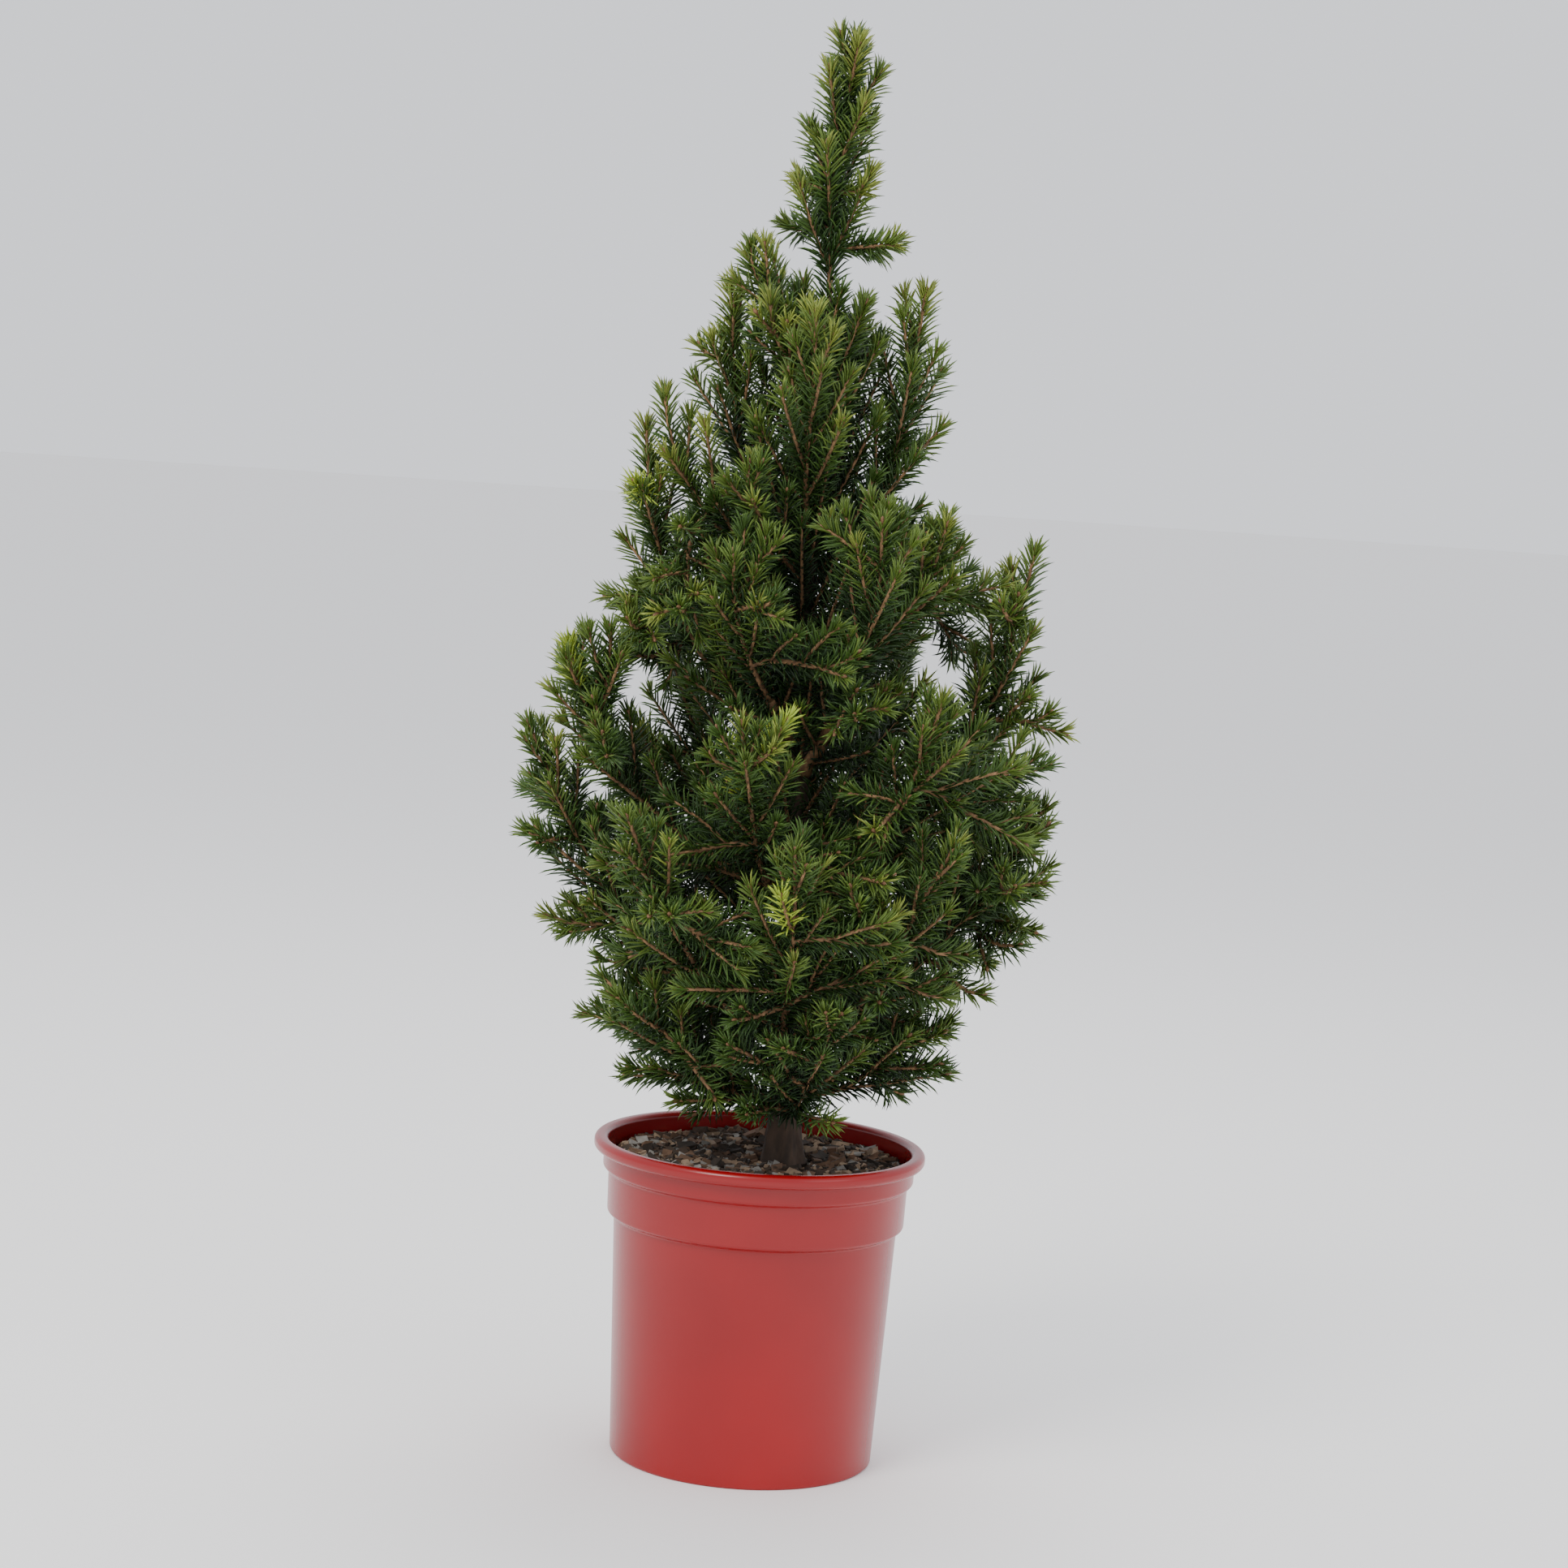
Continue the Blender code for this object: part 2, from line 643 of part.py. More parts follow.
def make_shoot(shoot, space, turn):
    """A slim three-sided shoot with a needle drawn out of every other face and a tuft at its tip."""
    bm = bmesh.new()
    length = SAMPLE * (len(shoot.points) - 1)
    count = max(2, round(length / BAND))
    line = evenly(shoot.points, length / count)
    frames = frames_along(line)
    count = len(line) - 1
    rings = []
    for k, point in enumerate(line):
        ahead, across, up = frames[k]
        radius = between(STEM_RADIUS, TIP_RADIUS, k / count)
        if k == 0 and shoot.flat_root is not None:
            normal = shoot.flat_root
            up = (up - normal * up.dot(normal)).normalized()
            across = (across - normal * across.dot(normal)).normalized()
            radius *= 0.85
        twist = turn + k * math.pi / SHOOT_SIDES
        rings.append(ring_round(bm, point, across, up, radius, SHOOT_SIDES, twist))
    bm.faces.new(rings[0])
    for k, (low, high) in enumerate(zip(rings, rings[1:])):
        ahead = frames[k][0]
        axis_point = (line[k] + line[k + 1]) / 2
        late = max(0.0, (k - count + 3) / 3)
        angle = between(NEEDLE_ANGLE, TIP_ANGLE, late)
        for side in range(SHOOT_SIDES):
            after = (side + 1) % SHOOT_SIDES
            corners = (low[side], low[after], high[side])
            draw_needle(bm, corners, axis_point, ahead, angle, shoot.mass, space)
            bm.faces.new((low[after], high[after], high[side]))
    ahead = frames[-1][0]
    bud = bm.verts.new(line[-1] + ahead * BUD)
    for side in range(SHOOT_SIDES):
        corners = (rings[-1][side], rings[-1][(side + 1) % SHOOT_SIDES], bud)
        draw_needle(bm, corners, line[-1], ahead, TIP_ANGLE, shoot.mass, space)
    return bm


def keep_largest_body(bm):
    """Drops loose scraps and fills sealed hollows: only the largest closed shell stays."""
    left = set(bm.faces)
    shells = []
    while left:
        start = left.pop()
        shell = [start]
        stack = [start]
        while stack:
            for edge in stack.pop().edges:
                for face in edge.link_faces:
                    if face in left:
                        left.remove(face)
                        shell.append(face)
                        stack.append(face)
        shells.append(shell)
    shells.sort(key=len)
    for shell in shells[:-1]:
        bmesh.ops.delete(bm, geom=shell, context="FACES")


def united(whole, twigs, solver):
    """The union of an object with a collection, as one clean body of triangles."""
    union = whole.modifiers.new("union", "BOOLEAN")
    union.operation = "UNION"
    union.operand_type = "COLLECTION"
    union.collection = twigs
    union.solver = solver
    graph = bpy.context.evaluated_depsgraph_get()
    joined = bpy.data.meshes.new_from_object(whole.evaluated_get(graph))
    whole.modifiers.remove(union)
    bm = bmesh.new()
    bm.from_mesh(joined)
    bpy.data.meshes.remove(joined)
    bmesh.ops.triangulate(bm, faces=bm.faces)
    bmesh.ops.remove_doubles(bm, verts=bm.verts, dist=MERGE)
    bmesh.ops.dissolve_degenerate(bm, dist=MERGE, edges=bm.edges)
    bmesh.ops.triangulate(bm, faces=bm.faces)
    keep_largest_body(bm)
    return bm


def is_sound(bm):
    """True for a closed body that touches itself along no edge and at no corner."""
    if any(len(edge.link_faces) != 2 for edge in bm.edges):
        return False
    return all(vert.is_manifold for vert in bm.verts)


def joined_shoots(name, shoots, space, material, draw):
    """One Boolean union on a collection joins the shoots, each given a turn drawn by lot."""
    pieces = []
    for k, shoot in enumerate(shoots):
        bm = make_shoot(shoot, space, draw.uniform(0, 2 * math.pi))
        pieces.append(new_object(f"{name}_twig_{k}", bm, material))
    whole = pieces[0]
    twigs = bpy.data.collections.new(name + "_twigs")
    bpy.context.scene.collection.children.link(twigs)
    for piece in pieces[1:]:
        bpy.context.scene.collection.objects.unlink(piece)
        twigs.objects.link(piece)
    for solver in ("EXACT", "MANIFOLD"):
        bm = united(whole, twigs, solver)
        if is_sound(bm):
            break
    for piece in pieces:
        bpy.data.objects.remove(piece)
    bpy.data.collections.remove(twigs)
    return bm


def make_mass(name, shoots, space, material, draw):
    for _ in range(ATTEMPTS):
        bm = joined_shoots(name, shoots, space, material, draw)
        if is_sound(bm):
            break
    return new_object(name, bm, material)


def main():
    for obj in list(bpy.data.objects):
        bpy.data.objects.remove(obj)
    pot_material = new_material("pot_plastic", POT_RED, 0.35)
    soil_material = new_material("potting_mix", SOIL, 0.95)
    wood = new_material("trunk_bark", WOOD, 0.85)
    bough_wood = new_material("bough_bark", BOUGH_WOOD, 0.80)
    foliage = new_material("needles", FOLIAGE, 0.60)
    make_pot(pot_material)
    make_soil(soil_material)
    make_trunk(wood)
    boughs, masses, space = plan_tree()
    for name, line in boughs.items():
        make_bough(name, line, bough_wood)
    for index, (name, shoots) in enumerate(masses.items()):
        draw = random.Random(SEED * 4000 + index)
        make_mass("mass_" + name, shoots, space, foliage, draw)


main()
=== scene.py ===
import math
import random
from collections import namedtuple

import bmesh
import bpy
import numpy as np
from mathutils import Euler, Matrix, Vector, noise
from mathutils.kdtree import KDTree


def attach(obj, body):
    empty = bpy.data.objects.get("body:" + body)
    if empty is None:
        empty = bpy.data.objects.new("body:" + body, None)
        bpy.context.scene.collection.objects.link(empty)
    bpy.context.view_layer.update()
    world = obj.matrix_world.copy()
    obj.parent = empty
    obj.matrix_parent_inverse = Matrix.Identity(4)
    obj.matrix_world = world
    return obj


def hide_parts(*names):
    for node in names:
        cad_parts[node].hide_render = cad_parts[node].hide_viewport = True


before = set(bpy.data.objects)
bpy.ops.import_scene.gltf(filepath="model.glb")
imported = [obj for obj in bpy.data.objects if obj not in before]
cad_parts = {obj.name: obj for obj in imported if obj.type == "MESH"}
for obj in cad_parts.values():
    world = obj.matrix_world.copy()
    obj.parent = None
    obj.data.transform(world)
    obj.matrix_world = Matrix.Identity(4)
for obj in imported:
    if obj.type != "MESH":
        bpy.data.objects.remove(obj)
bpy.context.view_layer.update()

GAP = 0.0003  # clear space between two pieces that touch
SEED = 11

# Pot: radii of the outer wall from the foot up, and the heights where the wall steps
POT_HEIGHT = 0.140
POT_WALL = 0.0018
FOOT_RADIUS = 0.058
WALL_TOP_RADIUS = 0.0625
WALL_TOP = 0.105
BAND_RADIUS = 0.066
BAND_TOP = 0.125
COLLAR_RADIUS = 0.0685
RIM_UNDERSIDE = 0.134
RIM_RADIUS = 0.073
STEP_RISE = 0.0015
SOIL_TOP = 0.131  # height of the soil in the pot

# Trunk: height, sideways place and radius at each station up to the leader's tip
TRUNK_STATIONS = (
    (0.1313, 0.0100, 0.0000, 0.0088),
    (0.1500, 0.0097, 0.0003, 0.0071),
    (0.2000, 0.0088, 0.0010, 0.0064),
    (0.2800, 0.0065, 0.0015, 0.0055),
    (0.3600, 0.0042, 0.0005, 0.0046),
    (0.4400, 0.0040, -0.0010, 0.0036),
    (0.5100, 0.0058, -0.0005, 0.0026),
    (0.5550, 0.0032, 0.0005, 0.0020),
    (0.5900, 0.0074, 0.0010, 0.0016),
    (0.6200, 0.0098, 0.0005, 0.0012),
)
TRUNK_FOOT = SOIL_TOP + GAP
TRUNK_TOP = 0.510
FLARE = 0.30
FLARE_LOBES = 5
FLARE_HEIGHT = 0.016

# Crown: how far the shoots' tips stand from the trunk's axis at each height
CROWN = (
    (0.150, 0.048),
    (0.172, 0.076),
    (0.200, 0.092),
    (0.225, 0.106),
    (0.250, 0.114),
    (0.285, 0.119),
    (0.320, 0.116),
    (0.350, 0.105),
    (0.380, 0.094),
    (0.410, 0.082),
    (0.440, 0.068),
    (0.470, 0.058),
    (0.495, 0.047),
    (0.520, 0.038),
    (0.545, 0.026),
    (0.565, 0.014),
)

# Limbs: the direction each leaves the trunk in (degrees from +X towards +Y), the height of its
# root, its tip's reach from the trunk's axis and height, and how many side shoots it carries
Limb = namedtuple("Limb", "name heading root reach top sides")
BOUGHS = (
    Limb("left_tall", 189, 0.315, 0.075, 0.455, 3),
    Limb("front_left_tall", 244, 0.318, 0.073, 0.405, 3),
    Limb("front_right_tall", 297, 0.305, 0.070, 0.428, 2),
    Limb("right_tall", 333, 0.335, 0.065, 0.425, 1),
    Limb("back_right_tall", 42, 0.328, 0.074, 0.418, 2),
    Limb("back_left_tall", 127, 0.322, 0.073, 0.426, 3),
    Limb("right_broad", 3, 0.255, 0.099, 0.412, 3),
    Limb("left_broad", 191, 0.250, 0.104, 0.360, 3),
    Limb("front_broad", 256, 0.246, 0.100, 0.336, 4),
    Limb("front_right_broad", 308, 0.252, 0.097, 0.350, 3),
    Limb("back_right_broad", 62, 0.250, 0.101, 0.366, 3),
    Limb("back_left_broad", 122, 0.243, 0.105, 0.356, 3),
    Limb("left_wide", 184, 0.196, 0.120, 0.323, 4),
    Limb("front_left_wide", 232, 0.190, 0.116, 0.293, 4),
    Limb("front_wide", 270, 0.182, 0.119, 0.287, 4),
    Limb("front_right_wide", 309, 0.191, 0.109, 0.290, 4),
    Limb("right_wide", 350, 0.198, 0.112, 0.302, 4),
    Limb("back_right_wide", 33, 0.192, 0.114, 0.299, 4),
    Limb("back_wide", 82, 0.186, 0.118, 0.288, 4),
    Limb("back_left_wide", 136, 0.194, 0.117, 0.303, 4),
)
TRUNK_SHOOTS = (
    Limb("high_left", 198, 0.482, 0.036, 0.535, 0),
    Limb("high_front", 226, 0.466, 0.036, 0.511, 0),
    Limb("high_back_right", 60, 0.462, 0.036, 0.503, 1),
    Limb("high_back_left", 130, 0.472, 0.035, 0.522, 1),
    Limb("front_high", 263, 0.405, 0.042, 0.507, 0),
    Limb("front_left_high", 240, 0.385, 0.056, 0.442, 0),
    Limb("right_high", 7, 0.392, 0.043, 0.521, 2),
    Limb("left_high", 169, 0.396, 0.044, 0.517, 1),
    Limb("left_mid", 197, 0.374, 0.070, 0.470, 1),
    Limb("back_high", 88, 0.384, 0.046, 0.500, 3),
    Limb("skirt_right", 338, 0.162, 0.080, 0.205, 3),
    Limb("skirt_front", 284, 0.156, 0.094, 0.215, 3),
    Limb("skirt_left", 218, 0.159, 0.096, 0.210, 4),
    Limb("skirt_back_left", 140, 0.157, 0.094, 0.212, 4),
    Limb("skirt_back_right", 50, 0.160, 0.092, 0.210, 4),
)
LEADER = Limb("leader", 0, TRUNK_TOP, 0.0, 0.620, 7)

# Side shoots that show by themselves: heading, reach and height of the tip, by limb
SIDE_TIPS = {
    "leader": (
        (180, 0.018, 0.565),
        (331, 0.017, 0.562),
        (158, 0.024, 0.545),
        (351, 0.032, 0.541),
        (70, 0.020, 0.553),
        (190, 0.012, 0.583),
        (320, 0.010, 0.591),
    ),
    "left_high": ((165, 0.059, 0.491),),
    "right_high": ((27, 0.055, 0.455),),
    "left_tall": ((200, 0.082, 0.430),),
    "front_left_tall": ((254, 0.062, 0.414), (262, 0.081, 0.387)),
    "front_right_tall": ((276, 0.063, 0.421),),
    "right_broad": ((346, 0.086, 0.389), (8, 0.104, 0.348), (353, 0.112, 0.342)),
    "left_broad": ((178, 0.106, 0.352), (201, 0.089, 0.368)),
    "front_broad": ((266, 0.108, 0.334), (246, 0.096, 0.322)),
    "left_wide": ((171, 0.118, 0.288), (188, 0.122, 0.275), (184, 0.112, 0.237)),
    "right_wide": ((349, 0.110, 0.262),),
    "skirt_left": ((205, 0.094, 0.217), (192, 0.075, 0.173)),
    "skirt_right": ((328, 0.048, 0.158), (344, 0.074, 0.184)),
    "skirt_front": ((268, 0.083, 0.197), (250, 0.079, 0.196)),
}

# Shoots: how they leave their limb and keep clear of each other
BOUGH_SHARE = 0.30  # part of a limb's length that is bare bough
BOUGH_ROOT_RADIUS = 0.0028
BOUGH_END_RADIUS = 0.0020
BOUGH_SWELL = 1.25  # how much thicker a bough is where it leaves the trunk
TUFT = 0.006  # how far the tip's needles stand past the end of the shoot
SHOOT_CLEARANCE = 0.0075  # least distance between the axes of two masses' shoots
SIBLING_CLEARANCE = 0.0060
SIBLING_FREE = 0.014  # length at a side shoot's root that may lie close to its stem
SAMPLE = 0.002  # step between the points of a line
TRIES = 16
WAVER = 0.0018
LEAVE_PULL = 0.40  # parts of a curve's span that shape how it leaves and arrives
ARRIVE_PULL = 0.38
STEM_LEAN = 0.35  # how much a side shoot's first direction follows its stem
SIBLING_WORTH = 1.3  # room beside the same mass counts for more than beside another
NAMED_PLACES = (0.02, 0.72)  # parts of the stem that a side shoot may leave from
NAMED_RISE = 0.006
RULED_PLACES = (0.02, 0.60)
RULED_TOPS = (0.00, 0.84)
RULED_SWING = (10, 46)  # degrees to one side of the limb's own direction
RULED_REACH = (0.78, 1.0)
RULED_SHORTEST = 0.020
TRUNK_STEPS = 190
LEADER_STEPS = 54

WOODY = "wood"  # owner of the samples of trunk and boughs

# How steeply a limb leaves the trunk and ends, in degrees, by height
ROOT_CLIMB = ((0.16, 6.0), (0.21, 14.0), (0.27, 26.0), (0.35, 40.0), (0.45, 50.0))
TIP_CLIMB = ((0.17, 10.0), (0.21, 24.0), (0.25, 38.0), (0.30, 56.0), (0.35, 74.0), (0.43, 84.0))

# Camera: its place and turn, found from the pot and the crown in the photograph
PHOTO_SIZE = 1932
FOCAL_PIXELS = 4254
SENSOR = 36.0  # millimetres
CAMERA_SPOT = (0.0, -1.5, 0.442)
CAMERA_PITCH = math.radians(90 - 5.46)
CAMERA_ROLL = math.radians(3.8)
CAMERA_TURN = Matrix.Rotation(CAMERA_PITCH, 4, "X") @ Matrix.Rotation(CAMERA_ROLL, 4, "Z")
CAMERA_PLACE = Matrix.Translation(CAMERA_SPOT) @ CAMERA_TURN

# Places in the photograph, in pixels: gaps that show the background, and fresh tips
SKY = ((690, 1050, 760, 1110), (1170, 1110, 1230, 1160), (1130, 1230, 1160, 1290))
LIME_TIPS = ((785, 575), (705, 790), (965, 880), (895, 920), (985, 1125))
BACK_PENALTY = 900  # pixels that a fresh tip's place counts as further off, a metre to the back

# The golden angle that twigs and needles turn by, and the wood of the shoots
GOLDEN = math.radians(137.5)
TWIG_SIDES = 5
TWIG_RADIUS = 0.0013
TWIG_TIP_RADIUS = 0.0008
NEEDLED_TRUNK = 0.470  # height from which the trunk itself carries needles
NEEDLED_TRUNK_STEPS = 24

# Finer twigs along the shoots
FINE_RADIUS = 0.0009
FINE_TIP_RADIUS = 0.0006
FINE_START = 0.009
FINE_START_SPREAD = 0.004
FINE_END = 0.013
FINE_STEP = 0.0068
FINE_STEPS = (0.8, 1.25)
FINE_LONGEST = 0.036
FINE_SHORTEST = 0.012
FINE_LEAST = 0.009
FINE_GROWTH = 0.45  # length gained by a twig for each unit that its shoot still goes on
FINE_LENGTHS = (0.75, 1.1)
FINE_SHARES = (1.0, 0.8, 0.62)  # lengths tried where space is short
FINE_ANGLE = math.radians(42)
FINE_LIFT = 0.42
FINE_CURVE = 0.22
FINE_CLEARANCE = 0.009
FINE_FREE_REACH = 0.012  # this close to the axis the crown's outline sets no limit
CROWN_SLACK = 0.002

# Inner twigs on the bare boughs and on the trunk
INNER_BOUGH_FIRST = 4
INNER_BOUGH_STEP = 3
INNER_BOUGH_TWIG = 0.036
INNER_BOUGH_SHARES = (0.7, 1.1)
INNER_LOW = 0.205
INNER_HIGH = 0.485
INNER_TRUNK_STEP = 0.0042
INNER_TRUNK_TWIG = 0.066
INNER_TRUNK_SHARES = (0.75, 1.05)
INNER_CLIMB = 14  # degrees that a twig climbs more steeply than a bough's root
INNER_RISE = 0.02
INNER_DEPTH = 0.012
INNER_SUNK = 0.8
INNER_SIDEWAYS = 0.75
INNER_FORWARDS = 0.65
INNER_LIFT = 0.35
INNER_CURVE = 0.18
INNER_CLEARANCE = 0.012

# Needles: how many, their size and lean, and where the pot leaves room for them
NEEDLES_PER_METRE = 2150
LEADER_DENSITY = 1.5
FEWEST_NEEDLES = 8
ROSETTE = 0.008  # length at a tip where needles close up round the bud
ROSETTE_NEEDLES = 10
ROSETTE_DEPTH = 0.003
LEAF_PLACES = (0.1, 0.9)  # where a needle stands in its own step of the spiral
LEAF_LENGTH = 0.0112
LEAF_LENGTHS = (0.82, 1.14)
LEAF_ROOT_SHARE = 0.72
LEAF_ROOT_SPAN = 0.010
LEAF_TIP_SHARE = 0.80
LEAF_RADIUS = 0.00048
LEAF_RINGS = ((0.16, 1.0), (0.72, 0.86))  # place along a needle, and how wide it is there
LEAF_BEND = 0.07
LEAF_LIFT = 0.14
LEAF_ANGLE = math.radians(56)
LEAF_TIP_ANGLE = math.radians(26)
LEAF_ANGLE_SPREAD = 0.11
LEAF_TURN_SPREAD = 0.22
LEAF_SUNK = 0.7
LEAF_NUDGE = 0.001  # keeps a needle's sideways direction sound where it lies along the twig
ABOVE_RIM = 0.002
BESIDE_RIM = 0.004
BELOW_RIM = 0.004
PIECE_FULL = 150000  # triangles past which the next mass starts a new piece

# Buds: distance along the twig's axis past its end, and radius
BUD_SIDES = 6
BUD_ROWS = ((-0.0006, 0.0005), (0.0004, 0.0010), (0.0016, 0.0010), (0.0027, 0.0005), (0.0032, 0.0001))

# How light a needle is: a least value, and what reach, height and nearness to a tip add. Reach and
# height add painted light, so needles deep in and low in the crown keep a painted shade; nearness to a
# tip adds the lighter colour of fresh growth
LIGHT_LEAST = 0.10
PAINTED_LIGHT_OUTER = 0.30
PAINTED_LIGHT_HIGH = 0.22
LIGHT_FRESH = 0.26
OUTER_MOST = 1.1
LEAST_CROWN = 0.02
CROWN_LOW = 0.20
CROWN_DEPTH = 0.40
FRESH = 0.018
LIME_LENGTH = 0.020
SPRAY_TONE_SPREAD = 0.075
LEAF_TONE_SPREAD = 0.035
TONE_STEPS = np.array((0.27, 0.43, 0.61, 0.80))  # where one tone gives way to the next
NEEDLE_DARKER = 0.80
NEEDLE_LIGHTER = 1.18
NEEDLE_SHINE = 0.35
# Darker tones are painted shade deep in and low in the crown, lighter ones are painted light outside
# and high up as well as fresh growth at the tips; lime is fresh growth only
NEEDLE_TONES = (
    ("deep", (0.014, 0.034, 0.010)),
    ("dark", (0.026, 0.061, 0.012)),
    ("mid", (0.048, 0.098, 0.015)),
    ("fresh", (0.096, 0.153, 0.022)),
    ("pale", (0.200, 0.245, 0.040)),
    ("lime", (0.330, 0.430, 0.050)),
)

# Pot and bark
POT_FINE_SIDES = 160
POT_ROUNDING = 0.0011
CORNER_SHARE = 0.45  # most of an edge that a rounded corner may take up
SHARP_EDGE = math.radians(40)
POT_SHADE = (0.230, 0.0005, 0.002)
POT_LIGHT = (0.310, 0.001, 0.003)
BARK_RINGS = 230
BARK_RING_SPREAD = 1.15  # over 1, the rings stand closer together near the foot
BARK_SIDES = 56
BARK_GRAIN = 0.06
BARK_PLATES = 0.10
BARK_SINK = 0.06
BARK_GRAIN_SCALE = (5.5, 210)  # how fine the noise is round the trunk and up it
BARK_PLATE_SCALE = (2.2, 95)
BARK_PLATE_SHIFT = 9
BARK_SHADE = (0.030, 0.020, 0.014)
BARK_LIGHT = (0.080, 0.050, 0.033)
BOUGH_FINE_SIDES = 14
BOUGH_RELIEF = 0.0005
BOUGH_GRAIN = 420.0
TWIG_SHADE = (0.110, 0.055, 0.024)
TWIG_LIGHT = (0.330, 0.185, 0.085)
BUD_SHADE = (0.10, 0.045, 0.02)
BUD_LIGHT = (0.26, 0.13, 0.06)
NOISE_STOPS = (0.32, 0.68)
BUMP_DEPTH = 0.0004

# Soil: a bed with lumps and grain, and the chips that lie on it
SOIL_EDGE = (COLLAR_RADIUS - POT_WALL - 2 * GAP) * 0.999
SOIL_EDGE_DROP = 0.0006
SOIL_MIDDLE = 0.003  # radius of the innermost ring of the top
SOIL_SIDES = 96
SOIL_RINGS = 34
SOIL_RING_SPREAD = 1.1
SOIL_LUMP = 0.0017
SOIL_LUMP_SCALE = 95
SOIL_GRAIN = 0.0009
SOIL_GRAIN_SCALE = 380
SOIL_CALM = 0.006  # the top grows level over this distance from the pot's wall
SOIL_SINK = 0.0004
SOIL_DARKER = 0.6
SOIL_TONES = (
    ("bed", (0.070, 0.045, 0.030)),
    ("dark", (0.040, 0.028, 0.020)),
    ("brown", (0.150, 0.085, 0.050)),
    ("tan", (0.330, 0.230, 0.150)),
    ("grey", (0.300, 0.280, 0.250)),
)
SOIL_CHIPS = 2600
CHIP_SHARES = (0.22, 0.26, 0.26, 0.16, 0.10)
CHIP_SIZES = (0.0007, 0.0011, 0.0016, 0.0024)
CHIP_SIZE_SHARES = (0.40, 0.34, 0.19, 0.07)
CHIP_LEAST = (0.8, 0.5, 0.35)  # half of length, width and height, in parts of a chip's size
CHIP_MOST = (2.2, 1.1, 0.8)
CHIP_WARP = 0.28
CHIP_TILT = 0.5
CHIP_SPIN = 6.28
CHIP_HEIGHTS = (-0.0002, 0.0012)
CHIP_REACH = 0.985
CHIP_FREE_FOOT = 0.0125

# Studio: floor, sky, and lights by name, place, height aimed at, size, watts and colour
FLOOR_SIDES = 96
FLOOR_REACH = 30
FLOOR_COLOR = (0.93, 0.92, 0.91)
WORLD_COLOR = (0.93, 0.95, 1.0)
WORLD_LIGHT = 1.20
LIGHTS = (
    ("key", (-0.9, -1.3, 1.9), 0.32, 0.9, 30.0, (1.0, 0.97, 0.92)),
    ("fill", (1.5, -1.2, 1.0), 0.30, 1.2, 5.0, (0.96, 0.98, 1.0)),
    ("top", (0.2, 0.7, 1.9), 0.35, 1.0, 14.0, (1.0, 1.0, 1.0)),
)


def between(low, high, share):
    return low + (high - low) * share


def read_table(table, height, column=1):
    """The column's value at a height, read straight between the table's rows."""
    if height <= table[0][0]:
        return table[0][column]
    for below, above in zip(table, table[1:]):
        if height <= above[0]:
            share = (height - below[0]) / (above[0] - below[0])
            return between(below[column], above[column], share)
    return table[-1][column]


def trunk_axis(height):
    """The trunk's middle at a height, rounded between stations."""
    step = 0.012
    heights = (height - step, height, height + step)
    x = sum(read_table(TRUNK_STATIONS, h, 1) for h in heights) / len(heights)
    y = sum(read_table(TRUNK_STATIONS, h, 2) for h in heights) / len(heights)
    return Vector((x, y, height))


def up_the_axis(low, high, steps):
    """Points on the trunk's axis in equal steps of height."""
    return [trunk_axis(between(low, high, k / steps)) for k in range(steps + 1)]


def trunk_radius(height):
    return read_table(TRUNK_STATIONS, height, 3)


def trunk_flare(height):
    """How much the root flare's lobes add to the trunk's radius at a height."""
    return FLARE * math.exp(-(height - TRUNK_FOOT) / FLARE_HEIGHT)


def trunk_girth(height):
    """The trunk's largest radius at a height."""
    return trunk_radius(height) * (1 + trunk_flare(height))


def turned(profile, sides):
    """A closed mesh turned round +Z from an open profile whose two ends are closed by flat discs."""
    bm = bmesh.new()
    close_over(bm, [level_ring(bm, radius, height, sides) for radius, height in profile])
    return bm


def level_ring(bm, radius, height, sides):
    """Corners of a level circle round +Z."""
    ring = []
    for k in range(sides):
        angle = 2 * math.pi * k / sides
        ring.append(bm.verts.new((radius * math.cos(angle), radius * math.sin(angle), height)))
    return ring


def close_over(bm, rings):
    """Faces from each ring to the next, and one over each end."""
    count = len(rings[0])
    for low, high in zip(rings, rings[1:]):
        for k in range(count):
            bm.faces.new((low[k], low[(k + 1) % count], high[(k + 1) % count], high[k]))
    bm.faces.new(rings[0])
    bm.faces.new(rings[-1])


def inner_wall():
    """Radius and height of the pot's inner wall, from the floor up to the rim."""
    return (
        (FOOT_RADIUS - POT_WALL, POT_WALL),
        (WALL_TOP_RADIUS - POT_WALL, WALL_TOP),
        (BAND_RADIUS - POT_WALL, WALL_TOP + STEP_RISE),
        (BAND_RADIUS - POT_WALL, BAND_TOP),
        (COLLAR_RADIUS - POT_WALL, BAND_TOP + STEP_RISE),
        (COLLAR_RADIUS - POT_WALL, POT_HEIGHT - STEP_RISE),
    )


def heading_vector(degrees):
    angle = math.radians(degrees)
    return Vector((math.cos(angle), math.sin(angle), 0.0))


def climbing(outward, degrees):
    angle = math.radians(degrees)
    return outward * math.cos(angle) + Vector((0.0, 0.0, math.sin(angle)))


def curved_path(start, leave, tip, arrive, draw):
    """Points a SAMPLE apart on a curve that leaves and arrives in given directions, with a waver."""
    span = (tip - start).length
    handle_a = start + leave * span * LEAVE_PULL
    handle_b = tip - arrive * span * ARRIVE_PULL
    across = leave.cross(Vector((0.0, 0.0, 1.0)))
    across.normalize()
    sway = draw.uniform(-WAVER, WAVER)
    double = draw.uniform(-WAVER, WAVER)
    fine = []
    count = max(8, int(span / SAMPLE) * 2)
    for k in range(count + 1):
        t = k / count
        s = 1 - t
        point = start * s**3 + handle_a * 3 * s * s * t + handle_b * 3 * s * t * t + tip * t**3
        point += across * (sway * math.sin(math.pi * t) + double * math.sin(2 * math.pi * t))
        fine.append(point)
    return evenly(fine, SAMPLE)


